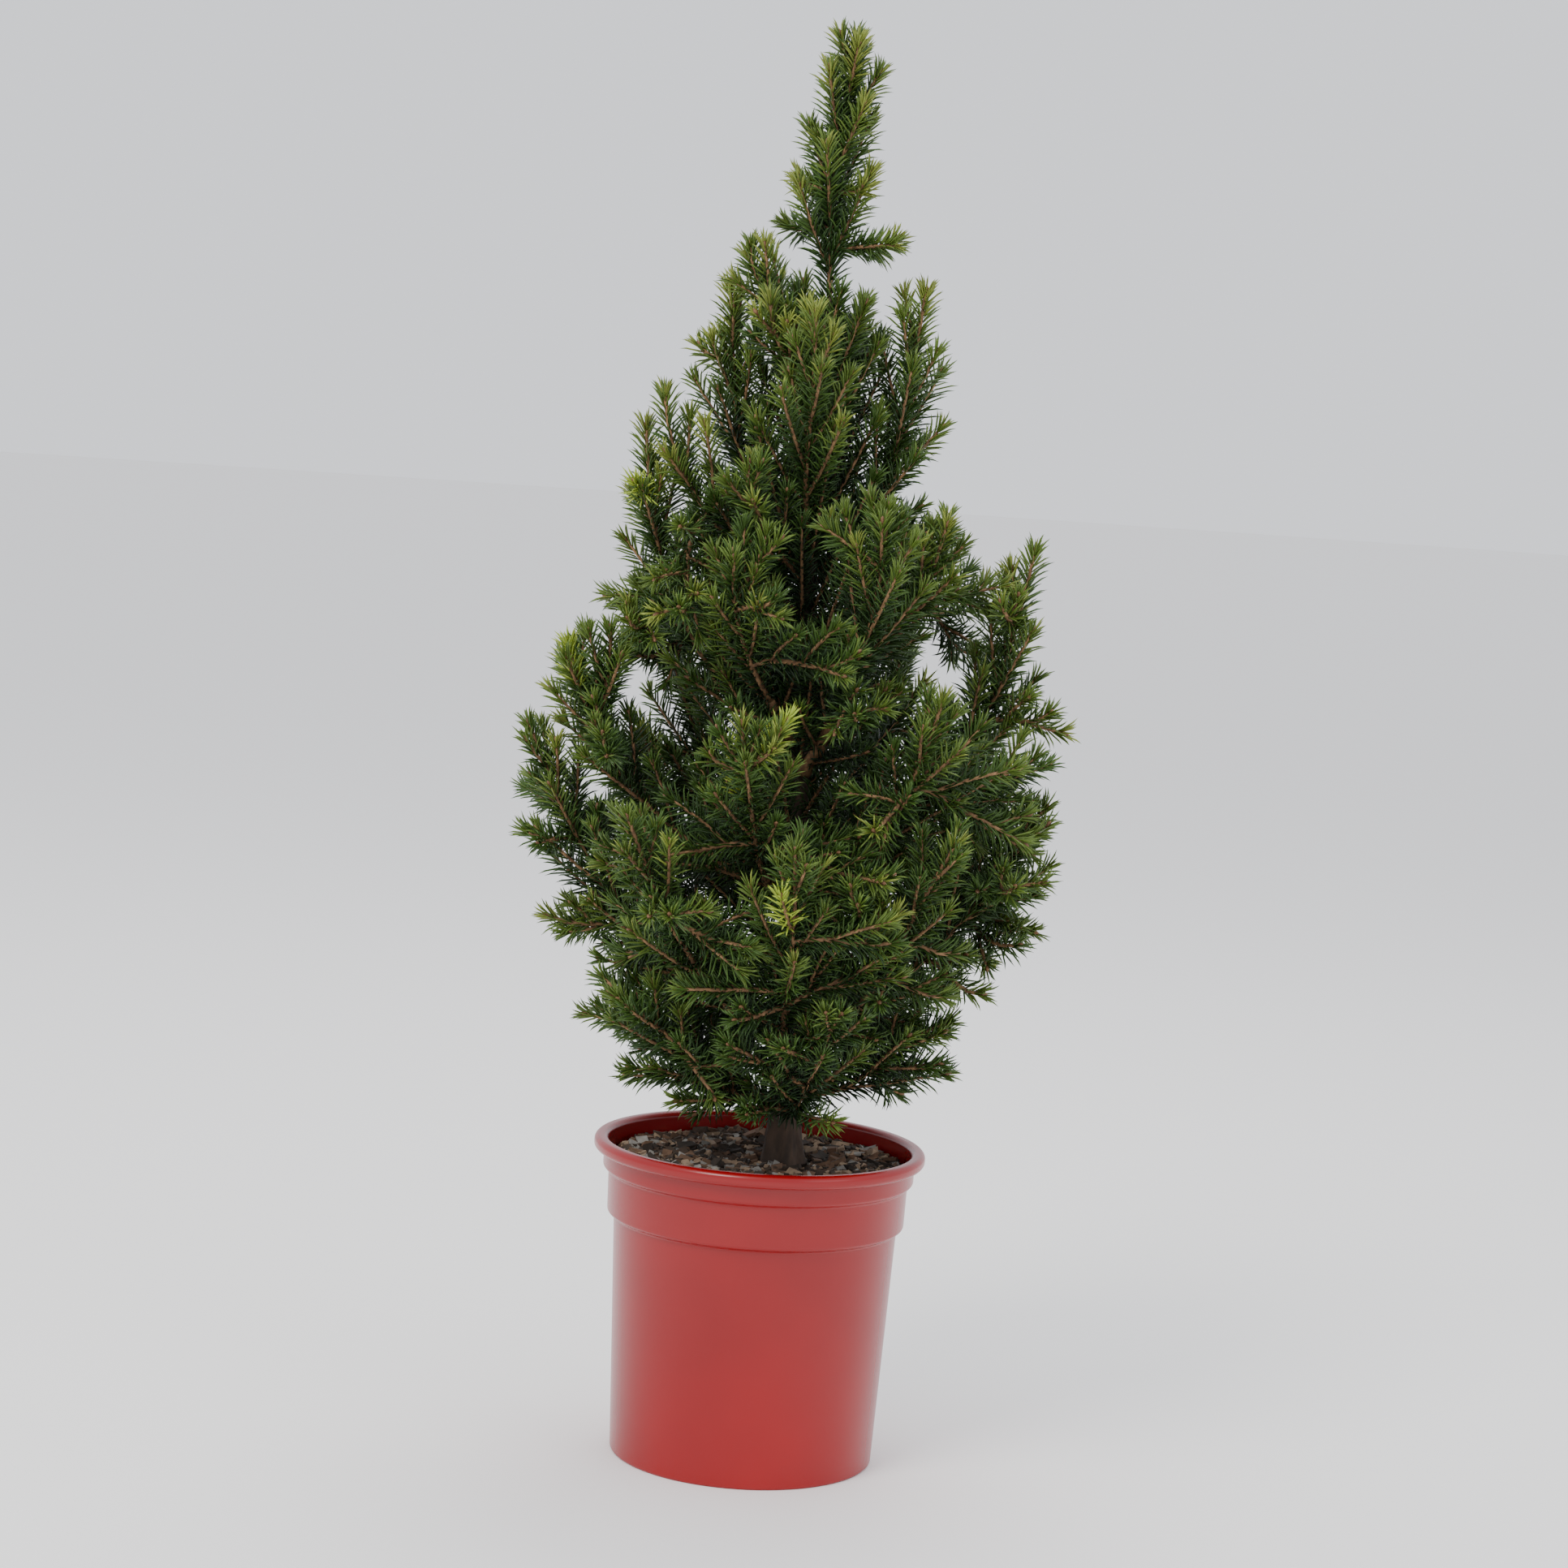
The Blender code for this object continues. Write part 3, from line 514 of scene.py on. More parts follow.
def evenly(points, spacing):
    """The same line with equal steps of about the given spacing."""
    lengths = [0.0]
    for a, b in zip(points, points[1:]):
        lengths.append(lengths[-1] + (b - a).length)
    count = max(2, round(lengths[-1] / spacing))
    out = []
    segment = 0
    for k in range(count + 1):
        want = lengths[-1] * k / count
        while segment < len(points) - 2 and lengths[segment + 1] < want:
            segment += 1
        share = (want - lengths[segment]) / (lengths[segment + 1] - lengths[segment])
        out.append(points[segment].lerp(points[segment + 1], share))
    return out


class Space:
    """Who owns which part of the crown: a point belongs to the mass whose shoot is nearest."""

    def __init__(self):
        self.samples = []
        self.owners = []
        self.tree = None

    def add(self, owner, points):
        self.samples += points
        self.owners += [owner] * len(points)
        self.tree = None

    def ready(self):
        if self.tree is None:
            self.tree = KDTree(len(self.samples))
            for index, point in enumerate(self.samples):
                self.tree.insert(point, index)
            self.tree.balance()

    def nearest(self, point, wanted):
        """Distance to the nearest sample whose owner passes the test."""
        self.ready()
        found = self.tree.find(point, filter=lambda index: wanted(self.owners[index]))
        return found[2] if found[0] is not None else 1.0


def limb_line(limb, draw):
    """The whole limb from the trunk's surface to its tip."""
    outward = heading_vector(limb.heading)
    foot = trunk_axis(limb.root)
    start = foot + outward * (trunk_girth(limb.root) + GAP)
    tip = trunk_axis(limb.top) + outward * limb.reach
    leave = climbing(outward, read_table(ROOT_CLIMB, limb.root))
    arrive = climbing(outward, read_table(TIP_CLIMB, limb.top))
    return curved_path(start, leave, tip - arrive * TUFT, arrive, draw)


def side_line(stem, share, heading, reach, top, draw):
    """A side shoot that leaves the stem at a share of its length and ends at the given tip."""
    index = min(len(stem) - 3, max(1, round(share * (len(stem) - 1))))
    start = stem[index]
    along = (stem[index + 1] - stem[index - 1]).normalized()
    tip = trunk_axis(top) + heading_vector(heading) * reach
    towards = (tip - start).normalized()
    leave = (along * STEM_LEAN + towards).normalized()
    arrive = climbing(heading_vector(heading), read_table(TIP_CLIMB, top))
    arrive = (arrive + towards).normalized()
    return curved_path(start, leave, tip - arrive * TUFT, arrive, draw)


def room_for(line, mass, space):
    """A side shoot's room beside other masses, wood and its own mass, or 0 if that is too little."""
    free = round(SIBLING_FREE / SAMPLE)
    others = min(space.nearest(p, lambda owner: owner != mass) for p in line[3:])
    own = min(space.nearest(p, lambda owner: owner == mass) for p in line[free:] or line[-1:])
    if others < SHOOT_CLEARANCE or own < SIBLING_CLEARANCE:
        return 0.0
    return min(others, own * SIBLING_WORTH)


def add_roomiest(lines, mass, shoots, space):
    """Adds the line with most room to the mass's shoots, and says whether one had enough."""
    best = None
    best_room = 0.0
    for line in lines:
        room = room_for(line, mass, space)
        if room > best_room:
            best = line
            best_room = room
    if best:
        shoots.append(best)
        space.add(mass, best)
    return best is not None


def named_sides(stem, tip, draw):
    """Side shoots to a tip given by SIDE_TIPS, each from a higher place on the stem."""
    heading, reach, top = tip
    for k in range(TRIES):
        share = between(*NAMED_PLACES, k / (TRIES - 1))
        if stem[round(share * (len(stem) - 1))].z > top - NAMED_RISE:
            break
        yield side_line(stem, share, heading, reach, top, draw)


def ruled_sides(limb, stem, turn, draw):
    """Side shoots by the seeded rule: they swing out to one side and end at the crown's outline."""
    for _ in range(TRIES):
        share = draw.uniform(*RULED_PLACES)
        top = between(stem[0].z, limb.top, draw.uniform(*RULED_TOPS))
        heading = limb.heading + turn * draw.uniform(*RULED_SWING)
        reach = read_table(CROWN, top) * draw.uniform(*RULED_REACH)
        line = side_line(stem, share, heading, reach, top, draw)
        if (line[-1] - line[0]).length > RULED_SHORTEST:
            yield line


def plan_tree():
    """Every bough's line and every mass's shoots, its stem first, all clear of each other."""
    limbs = (LEADER,) + TRUNK_SHOOTS + BOUGHS
    space = Space()
    space.add(WOODY, up_the_axis(TRUNK_FOOT, TRUNK_TOP, TRUNK_STEPS))
    boughs = {}
    masses = {}
    for index, limb in enumerate(limbs):
        draw = random.Random(SEED * 1000 + index)
        if limb is LEADER:
            stem = up_the_axis(limb.root + GAP, limb.top, LEADER_STEPS)
        else:
            stem = limb_line(limb, draw)
        if limb in BOUGHS:
            cut = round(BOUGH_SHARE * (len(stem) - 1))
            boughs[limb.name] = stem[: cut + 1]
            space.add(WOODY, boughs[limb.name])
            along = (stem[cut + 1] - stem[cut]).normalized()
            stem = [stem[cut] + along * GAP] + stem[cut + 1 :]
        masses[limb.name] = [stem]
        space.add(limb.name, stem)
    for index, limb in enumerate(limbs):
        draw = random.Random(SEED * 2000 + index)
        shoots = masses[limb.name]
        for tip in SIDE_TIPS.get(limb.name, ()):
            add_roomiest(named_sides(shoots[0], tip, draw), limb.name, shoots, space)
    for turn in range(max(limb.sides for limb in limbs)):
        for index, limb in enumerate(limbs):
            if limb is LEADER or turn >= limb.sides - len(SIDE_TIPS.get(limb.name, ())):
                continue
            draw = random.Random(SEED * 3000 + index * 17 + turn)
            side = 1 if (turn + index) % 2 else -1
            shoots = masses[limb.name]
            for hand in (side, -side):
                lines = ruled_sides(limb, shoots[0], hand, draw)
                if add_roomiest(lines, limb.name, shoots, space):
                    break
    return boughs, masses, space


def frames_along(points):
    """A direction and two sideways vectors at each point, turned as little as possible."""
    frames = []
    across = None
    for k in range(len(points)):
        ahead = points[min(k + 1, len(points) - 1)] - points[max(k - 1, 0)]
        ahead.normalize()
        if across is None:
            helper = Vector((1, 0, 0)) if abs(ahead.x) < 0.7 else Vector((0, 1, 0))
            across = ahead.cross(helper).normalized()
        else:
            across = (across - ahead * across.dot(ahead)).normalized()
        frames.append((ahead, across, ahead.cross(across)))
    return frames


def photo_place(point):
    """Where a point falls in the photograph, in pixels from its upper left corner."""
    seen = CAMERA_PLACE.inverted() @ Vector(point)
    right = PHOTO_SIZE / 2 + FOCAL_PIXELS * seen.x / -seen.z
    down = PHOTO_SIZE / 2 - FOCAL_PIXELS * seen.y / -seen.z
    return right, down


def in_open_sky(point):
    """True where the photograph shows the background through the crown."""
    right, down = photo_place(point)
    for left, top, far, low in SKY:
        if left < right < far and top < down < low:
            return True
    return False


class Pile:
    """Many small closed forms of triangles, gathered for one joined mesh."""

    def __init__(self):
        self.points = []
        self.faces = []
        self.tones = []
        self.count = 0

    def add(self, points, faces, tones):
        """Forms of equal faces: points is (forms, corners, 3) and tones gives one number a form."""
        forms, corners = points.shape[:2]
        starts = self.count + corners * np.arange(forms)
        self.points.append(points.reshape(-1, 3))
        self.faces.append((faces[None, :, :] + starts[:, None, None]).reshape(-1, 3))
        self.tones.append(np.repeat(tones, len(faces)))
        self.count += forms * corners

    def triangles(self):
        return sum(len(faces) for faces in self.faces)

    def piece(self, name, materials):
        """One object of the whole pile. A form's tone picks its material."""
        points = np.concatenate(self.points).astype(np.float32)
        faces = np.concatenate(self.faces).astype(np.int32)
        tones = np.concatenate(self.tones).astype(np.int32)
        mesh = bpy.data.meshes.new(name)
        mesh.vertices.add(len(points))
        mesh.vertices.foreach_set("co", points.ravel())
        mesh.loops.add(faces.size)
        mesh.loops.foreach_set("vertex_index", faces.ravel())
        mesh.polygons.add(len(faces))
        mesh.polygons.foreach_set("loop_start", np.arange(len(faces), dtype=np.int32) * 3)
        for material in materials:
            mesh.materials.append(material)
        mesh.polygons.foreach_set("material_index", tones)
        mesh.update(calc_edges=True)
        mesh.shade_smooth()
        return link_object(name, mesh)


def link_object(name, data):
    obj = bpy.data.objects.new(name, data)
    bpy.context.scene.collection.objects.link(obj)
    return obj


def mesh_object(name, bm, material):
    """A smooth object from a closed bmesh, its faces turned outwards."""
    bmesh.ops.recalc_face_normals(bm, faces=bm.faces)
    mesh = bpy.data.meshes.new(name)
    bm.to_mesh(mesh)
    bm.free()
    mesh.shade_smooth()
    mesh.materials.append(material)
    return link_object(name, mesh)


def needle_faces():
    """A slim spindle: its root, two rings of three corners, and its tip."""
    faces = []
    for k in range(3):
        after = (k + 1) % 3
        faces.append((0, 1 + after, 1 + k))
        faces.append((1 + k, 1 + after, 4 + after))
        faces.append((1 + k, 4 + after, 4 + k))
        faces.append((4 + k, 4 + after, 7))
    return np.array(faces)


def block_faces():
    """The twelve triangles of a block whose corners run over x, then y, then z."""
    sides = ((0, 1, 3, 2), (4, 6, 7, 5), (0, 4, 5, 1), (2, 3, 7, 6), (0, 2, 6, 4), (1, 5, 7, 3))
    return np.array([half for a, b, c, d in sides for half in ((a, b, c), (a, c, d))])


def tube_faces(rings, sides):
    """A tube of rings, closed by a fan at each end."""
    faces = []
    for ring in range(rings - 1):
        low = ring * sides
        high = low + sides
        for k in range(sides):
            after = (k + 1) % sides
            faces.append((low + k, low + after, high + after))
            faces.append((low + k, high + after, high + k))
    last = (rings - 1) * sides
    for k in range(1, sides - 1):
        faces.append((0, k + 1, k))
        faces.append((last, last + k, last + k + 1))
    return np.array(faces)


def as_arrays(line):
    """A line's points and its frames as arrays."""
    frames = frames_along(line)
    points = np.array([tuple(p) for p in line])
    return (points,) + tuple(np.array([tuple(f[k]) for f in frames]) for k in range(3))


def unit(vectors):
    return vectors / np.linalg.norm(vectors, axis=-1, keepdims=True)


def add_tube(pile, line, root_radius, tip_radius, sides, relief=0.0):
    """A tapering tube round a line, roughened by the bark's relief where it is given."""
    points, _, across, up = as_arrays(line)
    share = np.linspace(0.0, 1.0, len(line))[:, None, None]
    turn = np.linspace(0.0, 2 * math.pi, sides, endpoint=False)[None, :, None]
    radius = between(root_radius, tip_radius, share)
    rim = across[:, None, :] * np.cos(turn) + up[:, None, :] * np.sin(turn)
    corners = points[:, None, :] + rim * radius
    if relief:
        lumps = [[noise.noise(Vector(c * BOUGH_GRAIN)) for c in row] for row in corners]
        corners = points[:, None, :] + rim * (radius + np.array(lumps)[:, :, None] * relief)
    pile.add(corners.reshape(1, -1, 3), tube_faces(len(line), sides), np.array([0]))


class Spray:
    """One needled twig: the mass it belongs to, its line and its radius at both ends."""

    def __init__(self, mass, line, root_radius, tip_radius, bud=True):
        self.mass = mass
        self.line = line
        self.root_radius = root_radius
        self.tip_radius = tip_radius
        self.bud = bud
        self.lime = False


def curved_twig(start, leave, ahead, length, curve, fewest):
    """A line that leaves in one direction and curves towards another, a SAMPLE a step."""
    count = max(fewest, round(length / SAMPLE))
    line = []
    for k in range(count + 1):
        along = length * k / count
        line.append(start + leave * along + ahead * (curve * along * along / length))
    return line


def fine_twig(start, ahead, out, want, mass, space):
    """A twig that leaves its shoot sideways and curves forwards, kept in its mass's own space."""
    leave = out * math.sin(FINE_ANGLE) + ahead * math.cos(FINE_ANGLE)
    leave = (leave + Vector((0.0, 0.0, FINE_LIFT))).normalized()
    for share in FINE_SHARES:
        length = want * share
        if length < FINE_SHORTEST:
            return None
        line = curved_twig(start, leave, ahead, length, FINE_CURVE, 3)
        end = line[-1]
        if end.z < POT_HEIGHT + FINE_CLEARANCE or in_open_sky(end):
            continue
        level = trunk_axis(end.z)
        reach = math.hypot(end.x - level.x, end.y - level.y)
        if reach > read_table(CROWN, end.z) + CROWN_SLACK and reach > FINE_FREE_REACH:
            continue
        space.ready()
        if space.owners[space.tree.find(end)[1]] == mass:
            return line
    return None


def mass_near(point, space):
    """The mass whose shoots are nearest to a point."""
    space.ready()
    found = space.tree.find(point, filter=lambda index: space.owners[index] != WOODY)
    return space.owners[found[1]]


def inner_starts(boughs):
    """Where each inner twig starts, how it leaves and how long it is: on boughs, then on the trunk."""
    draw = random.Random(SEED * 6000)
    starts = []
    turn = 0.0
    for line in boughs.values():
        frames = frames_along(line)
        for k in range(INNER_BOUGH_FIRST, len(line) - 1, INNER_BOUGH_STEP):
            ahead, across, up = frames[k]
            turn += GOLDEN
            out = across * math.cos(turn) + up * math.sin(turn)
            length = draw.uniform(*INNER_BOUGH_SHARES) * INNER_BOUGH_TWIG
            starts.append((line[k], ahead, out, length))
    height = INNER_LOW
    while height < INNER_HIGH:
        turn += GOLDEN
        outward = Vector((math.cos(turn), math.sin(turn), 0.0))
        climb = climbing(outward, read_table(ROOT_CLIMB, height) + INNER_CLIMB)
        reach = min(INNER_TRUNK_TWIG, read_table(CROWN, height + INNER_RISE) - INNER_DEPTH)
        start = trunk_axis(height) + outward * trunk_radius(height) * INNER_SUNK
        starts.append((start, climb, climb, draw.uniform(*INNER_TRUNK_SHARES) * reach))
        height += INNER_TRUNK_STEP
    return starts


def inner_sprays(boughs, space):
    """Twigs inside the crown, from the trunk and the bare boughs, that close the view through it."""
    sprays = []
    for start, ahead, out, length in inner_starts(boughs):
        leave = out * INNER_SIDEWAYS + ahead * INNER_FORWARDS + Vector((0.0, 0.0, INNER_LIFT))
        line = curved_twig(start, leave.normalized(), ahead, length, INNER_CURVE, 4)
        if line[-1].z < POT_HEIGHT + INNER_CLEARANCE or in_open_sky(line[-1]):
            continue
        sprays.append(Spray(mass_near(line[-1], space), line, FINE_RADIUS, FINE_TIP_RADIUS))
    return sprays


def shoot_sprays(name, line, space, draw):
    """A shoot of the source and the finer twigs that grow along it."""
    sprays = [Spray(name, line, TWIG_RADIUS, TWIG_TIP_RADIUS)]
    frames = frames_along(line)
    length = SAMPLE * (len(line) - 1)
    place = FINE_START + draw.uniform(0.0, FINE_START_SPREAD)
    turn = draw.uniform(0.0, 2 * math.pi)
    while place < length - FINE_END:
        k = min(len(line) - 1, round(place / SAMPLE))
        ahead, across, up = frames[k]
        out = across * math.cos(turn) + up * math.sin(turn)
        want = min(FINE_LONGEST, FINE_LEAST + (length - place) * FINE_GROWTH)
        want *= draw.uniform(*FINE_LENGTHS)
        twig = fine_twig(line[k], ahead, out, want, name, space)
        if twig:
            sprays.append(Spray(name, twig, FINE_RADIUS, FINE_TIP_RADIUS))
        place += FINE_STEP * draw.uniform(*FINE_STEPS)
        turn += GOLDEN
    return sprays


def pick_lime(sprays):
    """Marks the sprays whose tips are nearest to the photograph's fresh ones, on the front side."""
    ended = [spray for spray in sprays if spray.bud]
    places = [photo_place(spray.line[-1]) for spray in ended]
    for across, below in LIME_TIPS:
        away = []
        for spray, (right, down) in zip(ended, places):
            beside = math.hypot(right - across, down - below)
            away.append(beside + spray.line[-1].y * BACK_PENALTY)
        ended[away.index(min(away))].lime = True


def plan_sprays(boughs, masses, space):
    """Every mass's own shoots with their finer twigs, the inner twigs, and the trunk's needled top."""
    sprays = []
    for index, (name, shoots) in enumerate(masses.items()):
        draw = random.Random(SEED * 5000 + index)
        for line in shoots:
            sprays += shoot_sprays(name, line, space, draw)
    sprays += inner_sprays(boughs, space)
    top = up_the_axis(NEEDLED_TRUNK, TRUNK_TOP, NEEDLED_TRUNK_STEPS)
    low_radius = trunk_radius(NEEDLED_TRUNK)
    sprays.append(Spray("leader", top, low_radius, trunk_radius(TRUNK_TOP), bud=False))
    pick_lime(sprays)
    return sprays


def painted_shade_and_freshness(points, along, length):
    """How light each needle is, from 0 (painted shade deep in the crown) to 1 (fresh growth at a tip):
    reach and height in the crown add painted light, nearness to a tip the lighter colour of fresh
    growth.
    """
    value = np.empty(len(points))
    for k, point in enumerate(points):
        level = trunk_axis(point[2])
        reach = math.hypot(point[0] - level.x, point[1] - level.y)
        outer = reach / max(LEAST_CROWN, read_table(CROWN, point[2]))
        high = (point[2] - CROWN_LOW) / CROWN_DEPTH
        # Reach and height add painted light; where both are small the needle keeps a painted shade
        value[k] = LIGHT_LEAST + PAINTED_LIGHT_OUTER * min(OUTER_MOST, outer) + PAINTED_LIGHT_HIGH * high
    return value + LIGHT_FRESH * np.clip(1 - (length - along) / FRESH, 0.0, 1.0)


def needle_forms(root, tip, direction, axis, size):
    """The corners of each needle: a spindle, bent a little towards the twig's own direction."""
    side = unit(np.cross(direction, axis + LEAF_NUDGE))
    over = np.cross(direction, side)
    bend = over * np.sign(np.sum(over * axis, axis=1, keepdims=True)) * size * LEAF_BEND
    rings = [root[:, None, :]]
    for place, wide in LEAF_RINGS:
        centre = root + direction * size * place + bend * math.sin(math.pi * place)
        ring = []
        for k in range(3):
            spin = 2 * math.pi * k / 3
            offset = side * math.cos(spin) + over * math.sin(spin)
            ring.append(centre + offset * LEAF_RADIUS * wide)
        rings.append(np.stack(ring, axis=1))
    rings.append(tip[:, None, :])
    return np.concatenate(rings, axis=1)


def grow_needles(pile, spray, rng):
    """Needles all round a twig in a golden-angle spiral, leaning forwards most at its tip."""
    points, ahead, across, up = as_arrays(spray.line)
    length = SAMPLE * (len(spray.line) - 1)
    dense = LEADER_DENSITY if spray.mass == "leader" else 1.0
    spread = max(FEWEST_NEEDLES, int(length * NEEDLES_PER_METRE * dense))
    along = (np.arange(spread) + rng.uniform(*LEAF_PLACES, spread)) / spread * length
    if spray.bud:
        along = np.append(along, length - rng.uniform(0.0, ROSETTE_DEPTH, ROSETTE_NEEDLES))
    count = len(along)
    at = along / length * (len(points) - 1)
    low = np.minimum(at.astype(int), len(points) - 2)
    part = (at - low)[:, None]
    middle = points[low] * (1 - part) + points[low + 1] * part
    axis = unit(ahead[low])
    turn = (np.arange(count) * GOLDEN + rng.normal(0.0, LEAF_TURN_SPREAD, count))[:, None]
    out = across[low] * np.cos(turn) + up[low] * np.sin(turn)
    late = np.clip(1 - (length - along) / ROSETTE, 0.0, 1.0) * spray.bud
    angle = between(LEAF_ANGLE, LEAF_TIP_ANGLE, late) + rng.normal(0.0, LEAF_ANGLE_SPREAD, count)
    angle = angle[:, None]
    direction = out * np.sin(angle) + axis * np.cos(angle)
    direction[:, 2] += LEAF_LIFT
    direction = unit(direction)
    size = LEAF_LENGTH * rng.uniform(*LEAF_LENGTHS, count)
    size *= between(LEAF_ROOT_SHARE, 1.0, np.clip(along / LEAF_ROOT_SPAN, 0.0, 1.0))
    size *= between(1.0, LEAF_TIP_SHARE, late)
    size = size[:, None]
    radius = between(spray.root_radius, spray.tip_radius, (along / length)[:, None])
    root = middle + out * radius * LEAF_SUNK
    tip = root + direction * size
    beside_rim = np.hypot(tip[:, 0], tip[:, 1]) > RIM_RADIUS + BESIDE_RIM
    keep = (tip[:, 2] > POT_HEIGHT + ABOVE_RIM) | beside_rim
    keep &= tip[:, 2] > POT_HEIGHT - BELOW_RIM
    forms = needle_forms(root, tip, direction, axis, size)
    chance = rng.normal(0.0, SPRAY_TONE_SPREAD) + rng.normal(0.0, LEAF_TONE_SPREAD, count)
    # Tone from painted shade and light by place in the crown, the lighter colour of fresh growth near
    # the tip, and random spread
    tones = np.searchsorted(TONE_STEPS, painted_shade_and_freshness(tip, along, length) + chance)
    if spray.lime:
        tones = np.where(length - along < LIME_LENGTH, len(TONE_STEPS) + 1, tones)
    pile.add(forms[keep], NEEDLE_FACES, tones[keep])


def add_bud(pile, spray):
    """A small egg-shaped bud at a twig's end."""
    points, ahead, across, up = as_arrays(spray.line[-3:])
    corners = []
    for along, radius in BUD_ROWS:
        for k in range(BUD_SIDES):
            turn = 2 * math.pi * k / BUD_SIDES
            rim = across[-1] * math.cos(turn) + up[-1] * math.sin(turn)
            corners.append(points[-1] + ahead[-1] * along + rim * radius)
    pile.add(np.array([corners]), tube_faces(len(BUD_ROWS), BUD_SIDES), np.array([0]))


def noisy_material(
    name, dark, light, roughness, grain_scale, detail=4.0, bump=0.0, stretch=(1, 1, 1)
):
    """Two colours mixed by noise over the object's own coordinates, with a fine bump."""
    material = bpy.data.materials.new(name)
    material.use_nodes = True
    nodes = material.node_tree.nodes
    links = material.node_tree.links
    shader = nodes["Principled BSDF"]
    shader.inputs["Roughness"].default_value = roughness
    place = nodes.new("ShaderNodeTexCoord")
    mapping = nodes.new("ShaderNodeMapping")
    mapping.inputs["Scale"].default_value = stretch
    grain = nodes.new("ShaderNodeTexNoise")
    grain.inputs["Scale"].default_value = grain_scale
    grain.inputs["Detail"].default_value = detail
    ramp = nodes.new("ShaderNodeValToRGB")
    for stop, position, color in zip(ramp.color_ramp.elements, NOISE_STOPS, (dark, light)):
        stop.position = position
        stop.color = (*color, 1.0)
    links.new(place.outputs["Object"], mapping.inputs["Vector"])
    links.new(mapping.outputs["Vector"], grain.inputs["Vector"])
    links.new(grain.outputs["Fac"], ramp.inputs["Fac"])
    links.new(ramp.outputs["Color"], shader.inputs["Base Color"])
    if bump:
        relief = nodes.new("ShaderNodeBump")
        relief.inputs["Strength"].default_value = bump
        relief.inputs["Distance"].default_value = BUMP_DEPTH
        links.new(grain.outputs["Fac"], relief.inputs["Height"])
        links.new(relief.outputs["Normal"], shader.inputs["Normal"])
    return material


def needle_material(name, color):
    dark = tuple(part * NEEDLE_DARKER for part in color)
    light = tuple(min(1.0, part * NEEDLE_LIGHTER) for part in color)
    material = noisy_material(name, dark, light, roughness=0.42, grain_scale=70.0)
    shader = material.node_tree.nodes["Principled BSDF"]
    shader.inputs["Specular IOR Level"].default_value = NEEDLE_SHINE
    return material


def soil_material(name, color):
    dark = tuple(part * SOIL_DARKER for part in color)
    return noisy_material("soil_" + name, dark, color, roughness=0.95, grain_scale=260.0, bump=0.5)


def rounded(profile, radius, steps=4):
    """The same profile with its corners rounded off."""
    out = [profile[0]]
    for previous, middle, following in zip(profile, profile[1:], profile[2:]):
        corner = Vector(middle)
        back = Vector(previous) - corner
        onward = Vector(following) - corner
        cut = min(radius, min(back.length, onward.length) * CORNER_SHARE)
        start = corner + back.normalized() * cut
        end = corner + onward.normalized() * cut
        for k in range(steps + 1):
            t = k / steps
            point = start * (1 - t) ** 2 + corner * 2 * t * (1 - t) + end * t * t
            out.append((point.x, point.y))
    out.append(profile[-1])
    return out


def make_pot(plastic):
    """The pot's wall, band, collar and rim, turned as one closed shell with soft corners."""
    lip = STEP_RISE
    outer = (
        (FOOT_RADIUS - lip / 2, 0.0),
        (FOOT_RADIUS, lip / 2),
        (WALL_TOP_RADIUS, WALL_TOP),
        (BAND_RADIUS - lip / 3, WALL_TOP + STEP_RISE),
        (BAND_RADIUS, BAND_TOP),
        (COLLAR_RADIUS, BAND_TOP + STEP_RISE),
        (COLLAR_RADIUS, RIM_UNDERSIDE),
        (RIM_RADIUS - lip, RIM_UNDERSIDE),
        (RIM_RADIUS, RIM_UNDERSIDE + lip),
        (RIM_RADIUS, POT_HEIGHT - lip),
        (RIM_RADIUS - lip, POT_HEIGHT),
        (COLLAR_RADIUS - POT_WALL + lip, POT_HEIGHT),
    )
    profile = rounded(outer + tuple(reversed(inner_wall())), POT_ROUNDING)
    pot = mesh_object("pot_shell", turned(profile, POT_FINE_SIDES), plastic)
    pot.data.set_sharp_from_angle(angle=SHARP_EDGE)
    return pot


def make_soil_bed(material):
    """The soil's side and its lumpy top, level where it meets the pot's wall."""
    side = [(radius - 2 * GAP, height + GAP) for radius, height in inner_wall()[:-1]]
    side.append((SOIL_EDGE, SOIL_TOP - SOIL_EDGE_DROP))
    top = []
    for k in range(1, SOIL_RINGS + 1):
        share = (k / SOIL_RINGS) ** SOIL_RING_SPREAD
        top.append((between(SOIL_EDGE, SOIL_MIDDLE, share), SOIL_TOP))
    bm = turned(side + top, SOIL_SIDES)
    for vert in bm.verts:
        radius = math.hypot(vert.co.x, vert.co.y)
        if vert.co.z > SOIL_TOP - GAP:
            coarse = noise.noise(vert.co * SOIL_LUMP_SCALE) * SOIL_LUMP
            fine = noise.noise(vert.co * SOIL_GRAIN_SCALE) * SOIL_GRAIN
            calm = min(1.0, (SOIL_EDGE - radius) / SOIL_CALM)
            vert.co.z += (coarse + fine) * calm - SOIL_SINK
    return mesh_object("soil_bed", bm, material)


